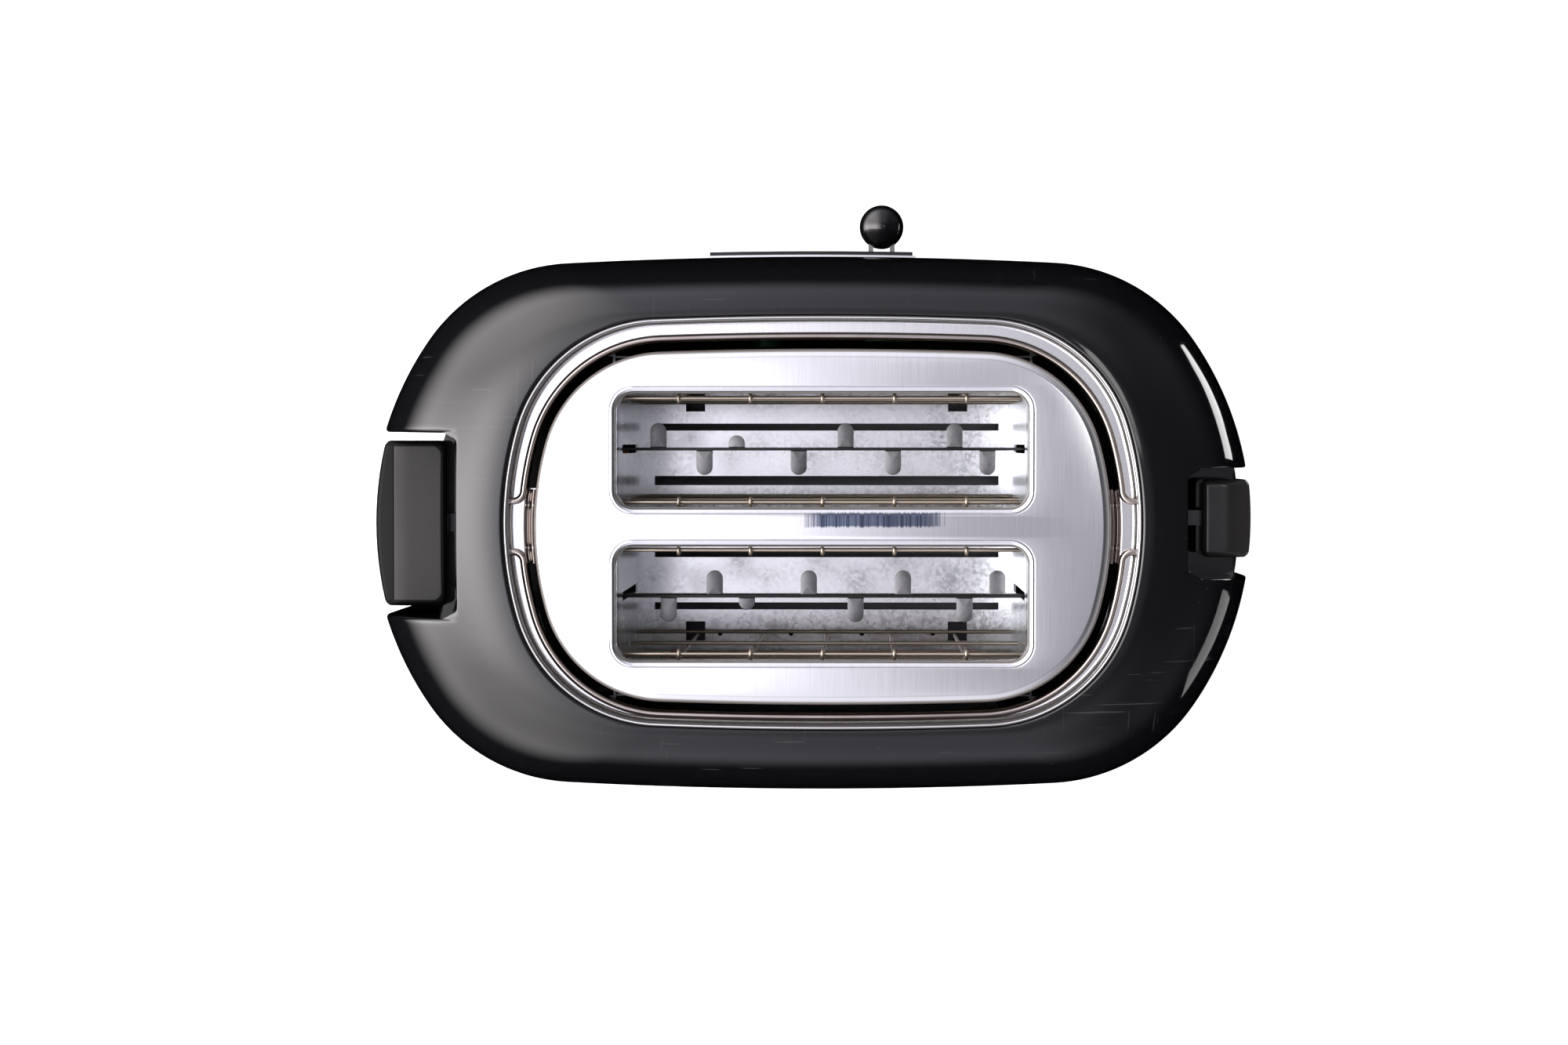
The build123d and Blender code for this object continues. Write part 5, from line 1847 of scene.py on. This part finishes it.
@dataclass
class Carriage:
    """The lift bars with their bent tabs, and the bread lever with its grained pad."""

    layout: Layout
    pitch: float = 49.4
    top: float = 137.0
    high: float = 12.0
    half: float = 74.0
    sheet: float = 1.0
    bar_ease: float = 0.15
    tab_ease: float = 0.12
    long_tab: float = 8.7
    short_tab: float = 4.6
    rear_shift: float = 3.4
    even_x: tuple[float, float] = (39.9, 31.6)
    outer_x: float = 55.4
    odd_x: tuple[float, float] = (29.1, 36.5)
    tilt: float = 0.035
    lever_x: tuple[float, float] = (125.6, 149.8)
    lever_z: tuple[float, float] = (121.0, 147.0)
    lever_half: float = 27.6
    lever_ease: float = 2.0
    seat: float = 1.35
    seat_fit: float = 0.1
    pad_low: float = 1.3
    pad_lip: float = 0.6
    pad_round: float = 0.5
    pad_below: float = 0.1
    pad_close: float = 7.6

    def tabs(self, side: Side) -> list[Tab]:
        """The tabs of one bar, each tilted its own way by a sine of its number.

        Args:
            side: Which bar.

        Returns:
            Four even tabs towards the other bar and four away from it, one of them short.
        """
        way = side.value
        shift = self.rear_shift if side is Side.REAR else 0.0
        first, step = self.even_x
        odd, odd_step = self.odd_x
        places = [(first - shift - step * k, -way, self.long_tab) for k in range(4)]
        places += [(self.outer_x - shift, way, self.long_tab), (odd - shift, way, self.short_tab)]
        places += [(odd - shift - odd_step * k, way, self.long_tab) for k in (1, 2)]
        return [Tab(*p, self.tilt * math.sin(2.4 * k + way)) for k, p in enumerate(places)]

    def build_bar(self, side: Side) -> None:
        """One bar: a strip on edge and its tabs.

        Args:
            side: Which bar.
        """
        work = Patchwork(self.layout)
        y = BODY_Y + side.value * self.pitch / 2
        strip = Upright((self.half, self.sheet / 2), (0.0, y), (self.top - self.high, self.top), 0.3)
        work.slab(partial(strip.outline, steps=2), *strip.heights, self.bar_ease)
        for tab in self.tabs(side):
            lay = partial(tab.lay, y=y, top=self.top)
            work.slab(tab.outline, -tab.sheet / 2, tab.sheet / 2, self.tab_ease, lay)
        name = side.name.lower()
        obj = work.object(f"lift_bar_{name}", DARKENED_STRIP, 30.0)
        settle(obj, DARKENED_STRIP, "carriage", f"carriage_bar_{name}")

    def build_lever(self) -> None:
        """The grip, with a shallow seat, and the pad that lies in it."""
        low, high = self.lever_z
        grip = LeverForm(End.LEVER, *self.lever_x, self.lever_half, BODY_Y)
        work = Patchwork(self.layout)
        floor = high - self.seat
        seat = [(self.seat_fit, high - 0.02), (self.seat_fit, floor), (-1.0, floor)]
        top = [grip.crowned(grip.pad(grow, z)) for grow, z in seat]
        work.block(grip.rings(low, high, self.lever_ease) + top)
        settle(work.object("bread_grip", GRIP, 30.0), GRIP, "carriage", "bread_lever")
        work = Patchwork(self.layout)
        bend, lip = self.pad_round, high - self.pad_lip
        rows = [(0.0, high - self.pad_low), (0.0, lip)]
        for a in quarter_turn(5)[1:]:
            rows.append((-bend * (1 - math.cos(a)), lip + bend * math.sin(a)))
        rows += [(g, high - self.pad_below) for g in np.linspace(-bend, -self.pad_close, 9)[1:]]
        work.block([grip.crowned(grip.pad(grow, z)) for grow, z in rows])
        settle(work.object("grip_pad", PAD, 30.0), PAD, "carriage", "lever_pad")

    def build(self) -> None:
        """Builds bars, lever and pad."""
        for side in Side:
            self.build_bar(side)
        self.build_lever()


@dataclass(frozen=True)
class LeverForm:
    """The form of an end lever, whose outer face follows the bow of the housing."""

    end: End
    inner: float
    outer: float
    half: float
    y: float
    corner: float = 2.2
    pad_inner: float = 1.2
    pad_outer: float = 6.4
    pad_side: float = 1.4
    pad_round: float = 4.0
    crown_x: float = 138.0
    crown_drop: float = 3.6
    least_round: float = 0.3
    crest: float = 0.35
    low: float = 121.0
    high: float = 147.0

    def crowned(self, points: Array) -> Array:
        """Lets the top fall as a parabola towards the outer face; the underside stays.

        Args:
            points: Array of x, y, z.

        Returns:
            The moved points.
        """
        share = np.clip((np.abs(points[:, 0]) - self.crown_x) / (self.outer - self.crown_x), 0, 1)
        lift = np.clip((points[:, 2] - self.low) / (self.high - self.low), 0, 1)
        moved = points.copy()
        moved[:, 2] -= self.crown_drop * share**2 * lift
        return moved

    def bowed(self, box: Array, z: float) -> Array:
        """Bends a box outline so that its outer side follows the bow of the housing's end.

        Args:
            box: Array of x, y about the box's middle.
            z: Its height.

        Returns:
            Array of x, y, z, drawn in by r - sqrt(r^2 - y^2), fully so at the outer side.
        """
        middle = (self.inner + self.outer) / 2
        radius = BODY.end_bow
        share = np.clip((box[:, 0] + middle - self.inner) / (self.outer - self.inner), 0, 1)
        droop = radius - np.sqrt(radius**2 - box[:, 1] ** 2)
        x = self.end.value * (box[:, 0] + middle - share * droop)
        points = np.stack([x, box[:, 1] + self.y], -1)
        return level(points[:: self.end.value], z)

    def ring(self, inset: float, z: float) -> Array:
        """The grip's outline at one height; its corners keep a least radius.

        Args:
            inset: How far it is drawn in.
            z: The height.

        Returns:
            Array of x, y, z.
        """
        half_x = (self.outer - self.inner) / 2 - inset
        radius = self.corner - min(inset, self.corner - self.least_round)
        return self.bowed(round_box(half_x, self.half - inset, [radius] * 4, 6), z)

    def rings(self, low: float, high: float, ease: float) -> list[Array]:
        """Levels of the grip from its eased lower edge to its eased upper edge."""
        return [self.crowned(self.ring(inset, z)) for inset, z in eased(low, high, ease, 6)]

    def top(self, start: float, high: float, steps: int) -> list[Array]:
        """Rings that close the top, each drawn in further, so that its crown shows.

        Args:
            start: Inset of the ring that is there already.
            high: Height of the top.
            steps: Number of rings.

        Returns:
            Rings of x, y, z.
        """
        last = (self.outer - self.inner) / 2 - self.crest
        insets = np.linspace(start, last, steps + 1)[1:]
        return [self.crowned(self.ring(inset, high)) for inset in insets]

    def pad(self, grow: float, z: float) -> Array:
        """The pad's outline, straight on its outer side and round at its inner corners.

        Args:
            grow: How far it is moved outwards.
            z: Its height.

        Returns:
            Array of x, y, z.
        """
        x0 = self.inner + self.pad_inner - grow
        x1 = self.outer - self.pad_outer + grow
        half = self.half - self.pad_side + grow
        inner = max(self.least_round, self.pad_round + min(grow, 0.0))
        radii = [self.least_round, inner, inner, self.least_round]
        box = round_box((x1 - x0) / 2, half, radii, 6)
        return level(box, z, self.end.value * (x0 + x1) / 2, self.y)


@dataclass
class RackGrip:
    """The small glossy lever that lifts the bun rack."""

    layout: Layout
    form: LeverForm = LeverForm(
        End.RACK, 126.0, 142.6, 13.0, -2.0, crown_x=133.0, crown_drop=2.6, low=121.0, high=144.0
    )
    ease: float = 2.0
    top_steps: int = 8

    def build(self) -> None:
        """Builds the grip."""
        form = self.form
        work = Patchwork(self.layout)
        rings = form.rings(form.low, form.high, self.ease)
        work.block(rings + form.top(self.ease, form.high, self.top_steps))
        settle(work.object("rack_grip", LEVER, 30.0), LEVER, "rack_slide", "rack_lever")


@dataclass
class Knob:
    """The ball on the browning slide, turned about Y."""

    layout: Layout
    centre: tuple[float, float, float] = (-19.8, -102.8, 79.0)
    radius: float = 7.7
    turns: int = 40
    around: int = 64

    def build(self) -> None:
        """Sweeps a half circle from the front pole to the rear one."""
        work = Patchwork(self.layout)
        x, y, z = self.centre
        rings = []
        for a in np.linspace(0, math.pi, self.turns + 1)[1:-1]:
            outline = circle(self.radius * math.sin(a), self.around)
            rings.append(upright_ring(outline, x, y - self.radius * math.cos(a), z))
        number = work.rows(rings, False, Facing.REVERSED)
        work.fan(number[0], (x, y - self.radius, z))
        work.fan(number[-1], (x, y + self.radius, z), Facing.REVERSED)
        settle(work.object("turned_ball", GLOSS, 60.0), GLOSS, "browning", "ball_knob")


@dataclass(frozen=True)
class Sheet:
    """A level sheet of the studio, dull and giving light of its own."""

    name: str
    tone: float
    glow: float

    def lay(self, points: Array, quads: Array) -> Any:
        """Makes the sheet.

        Args:
            points: Array of x, y, z in metres.
            quads: Four point numbers a face.

        Returns:
            Its object.
        """
        mesh = bpy.data.meshes.new(self.name)
        mesh.from_pydata(points.tolist(), [], quads.reshape(-1, 4).tolist())
        obj = bpy.data.objects.new(self.name, mesh)
        bpy.context.scene.collection.objects.link(obj)
        made = bpy.data.materials.new(f"{self.name}_tone")
        made.use_nodes = True
        shader = made.node_tree.nodes["Principled BSDF"]
        shader.inputs["Base Color"].default_value = (self.tone, self.tone, self.tone, 1.0)
        shader.inputs["Roughness"].default_value = 0.9
        shader.inputs["Specular IOR Level"].default_value = 0.0
        shader.inputs["Emission Color"].default_value = (1.0, 1.0, 1.0, 1.0)
        shader.inputs["Emission Strength"].default_value = self.glow
        obj.data.materials.append(made)
        return obj


@dataclass(frozen=True)
class Card:
    """A bright sheet that only mirrors see, or that only lights matt surfaces.

    Its edges are pairs of points, one after another, in millimetres.
    """

    name: str
    edges: tuple[tuple[float, float], ...]
    z: float
    glow: float
    reaches: Reaches

    def build(self, layout: Layout) -> None:
        """Joins each pair of points to the next one.

        Args:
            layout: Carries the points into the frame.
        """
        first = np.arange(0, len(self.edges) - 2, 2)
        quads = np.stack([first, first + 1, first + 3, first + 2], -1)
        points = layout.place(level(np.array(self.edges, float), self.z))
        obj = Sheet(self.name, 0.0, self.glow).lay(points, quads)
        obj.visible_camera = False
        obj.visible_shadow = False
        obj.visible_glossy = self.reaches is Reaches.MIRRORS
        obj.visible_diffuse = self.reaches is Reaches.MATT


DOME = ((-4000, -4000), (4000, -4000), (-4000, 4000), (4000, 4000))
STRIP_CARD = (
    *((-257, -149), (-290, -172), (-262, -123), (-325, -155)),
    *((-268, -105), (-340, -136), (-278, -85), (-370, -116)),
    *((-300, -71), (-390, -100), (-314, -44), (-420, -66)),
)
HIGH_CARD = ((-300, -290), (-360, -290), (-330, -60), (-390, -60))
SOFT_CARD = ((-310, 70), (-310, 190), (-470, 90), (-470, 230))


@dataclass
class Studio:
    """Floor, soft light and camera."""

    layout: Layout
    floor: Sheet = Sheet("floor", 0.92, 0.45)
    floor_half: float = 3.0
    floor_lines: int = 9
    cards: tuple[Card, ...] = (
        Card("dome_light", DOME, 2600.0, 1.0, Reaches.MATT),
        Card("strip_light", STRIP_CARD, 2.0, 5.0, Reaches.MIRRORS),
        Card("high_light", HIGH_CARD, 1460.0, 5.0, Reaches.MIRRORS),
        Card("soft_sheet", SOFT_CARD, 2.0, 1.3, Reaches.MIRRORS),
    )
    camera_at: tuple[float, float, float] = (-11.7, -27.6, 1285.0)
    aimed_at: tuple[float, float, float] = (12.2, -1.5, 185.0)
    focal: float = 78.6
    film: float = 36.0
    far: float = 20.0
    box: float = 9.0
    walls: float = 0.8
    over: float = 0.34
    least: float = 0.07
    cool: Colour = (0.94, 0.92, 1.03)
    warm: Colour = (1.02, 0.985, 0.985)

    def lay_floor(self) -> None:
        """A pale floor as a gently subdivided sheet, left out of mirror reflections."""
        line = np.linspace(-self.floor_half, self.floor_half, self.floor_lines)
        x, y = np.meshgrid(line, line, indexing="ij")
        points = np.stack([x, y, np.zeros_like(x)], -1).reshape(-1, 3)
        number = np.arange(self.floor_lines**2).reshape(x.shape)
        quads = np.stack([number[:-1, :-1], number[1:, :-1], number[1:, 1:], number[:-1, 1:]], -1)
        self.floor.lay(points, quads).visible_glossy = False

    def light(self) -> None:
        """A world of soft boxes, as a function of the direction x, y, z.

        A broad box at +X weakens to both sides, dimmer walls stand at both sides, a small
        sheet hangs overhead, and everything fades out below the horizon. Light from +X is
        warmer than the rest.
        """
        world = bpy.data.worlds.new("studio")
        bpy.context.scene.world = world
        world.use_nodes = True
        tree = world.node_tree
        tree.nodes.clear()
        paint = Paint(tree)
        way = Signal(paint, paint.node("ShaderNodeTexCoord").outputs["Generated"])
        x, y, z = (paint.part(way, axis) for axis in "XYZ")
        aside = y.size()
        lean = 1.0 - 0.62 * aside.ramp(0.0, 0.45) - 0.2 * y.ramp(0.2, 0.8)
        box = self.box * x.ramp(-0.1, 0.62) * lean
        walls = self.walls * aside.ramp(0.1, 0.6) * (0.15 + 0.85 * x.ramp(-0.65, -0.1))
        over = self.over * z.ramp(0.93, 0.99)
        strength = (self.least + walls + box) * z.ramp(-0.5, 0.1) + over
        colour = paint.blend(x.ramp(0.0, 0.4), self.cool, self.warm)
        back = paint.node("ShaderNodeBackground", None, {"Color": colour, "Strength": strength})
        out = paint.node("ShaderNodeOutputWorld")
        tree.links.new(back.outputs[0], out.inputs[0])

    def camera(self) -> None:
        """A camera straight above, with the front of the toaster at the top of the picture."""
        data = bpy.data.cameras.new("camera")
        data.lens = self.focal
        data.sensor_width = self.film
        data.clip_end = self.far
        obj = bpy.data.objects.new("camera", data)
        bpy.context.scene.collection.objects.link(obj)
        eye = self.layout.spot(*self.camera_at)
        target = self.layout.spot(*self.aimed_at)
        back = (eye - target).normalized()
        side = Vector((0.0, -1.0, 0.0)).cross(back).normalized()
        up = back.cross(side)
        turn = Matrix((side, up, back)).transposed().to_4x4()
        obj.matrix_world = Matrix.Translation(eye) @ turn
        bpy.context.scene.camera = obj

    def build(self) -> None:
        """Sets floor, bright sheets, world, camera and plain tones."""
        self.lay_floor()
        for card in self.cards:
            card.build(self.layout)
        self.light()
        self.camera()
        bpy.context.scene.view_settings.view_transform = "Standard"


def main() -> None:
    """Loads the frame, dresses every node and adds the modelled pieces."""
    logging.basicConfig(level=logging.INFO)
    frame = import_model()
    layout = Layout.from_frame()
    for name, obj in frame["nodes"].items():
        dress(obj, NODE_FINISH[name])
        log.info("%s: %s", name, NODE_FINISH[name].name)
    for part in (Housing, SlotTop, BunRack, BreadGuards, Carriage, RackGrip, Knob):
        part(layout).build()
    Studio(layout).build()
    log.info("pieces dressed: %d", len(frame["nodes"]))


if __name__ == "__main__":
    main()
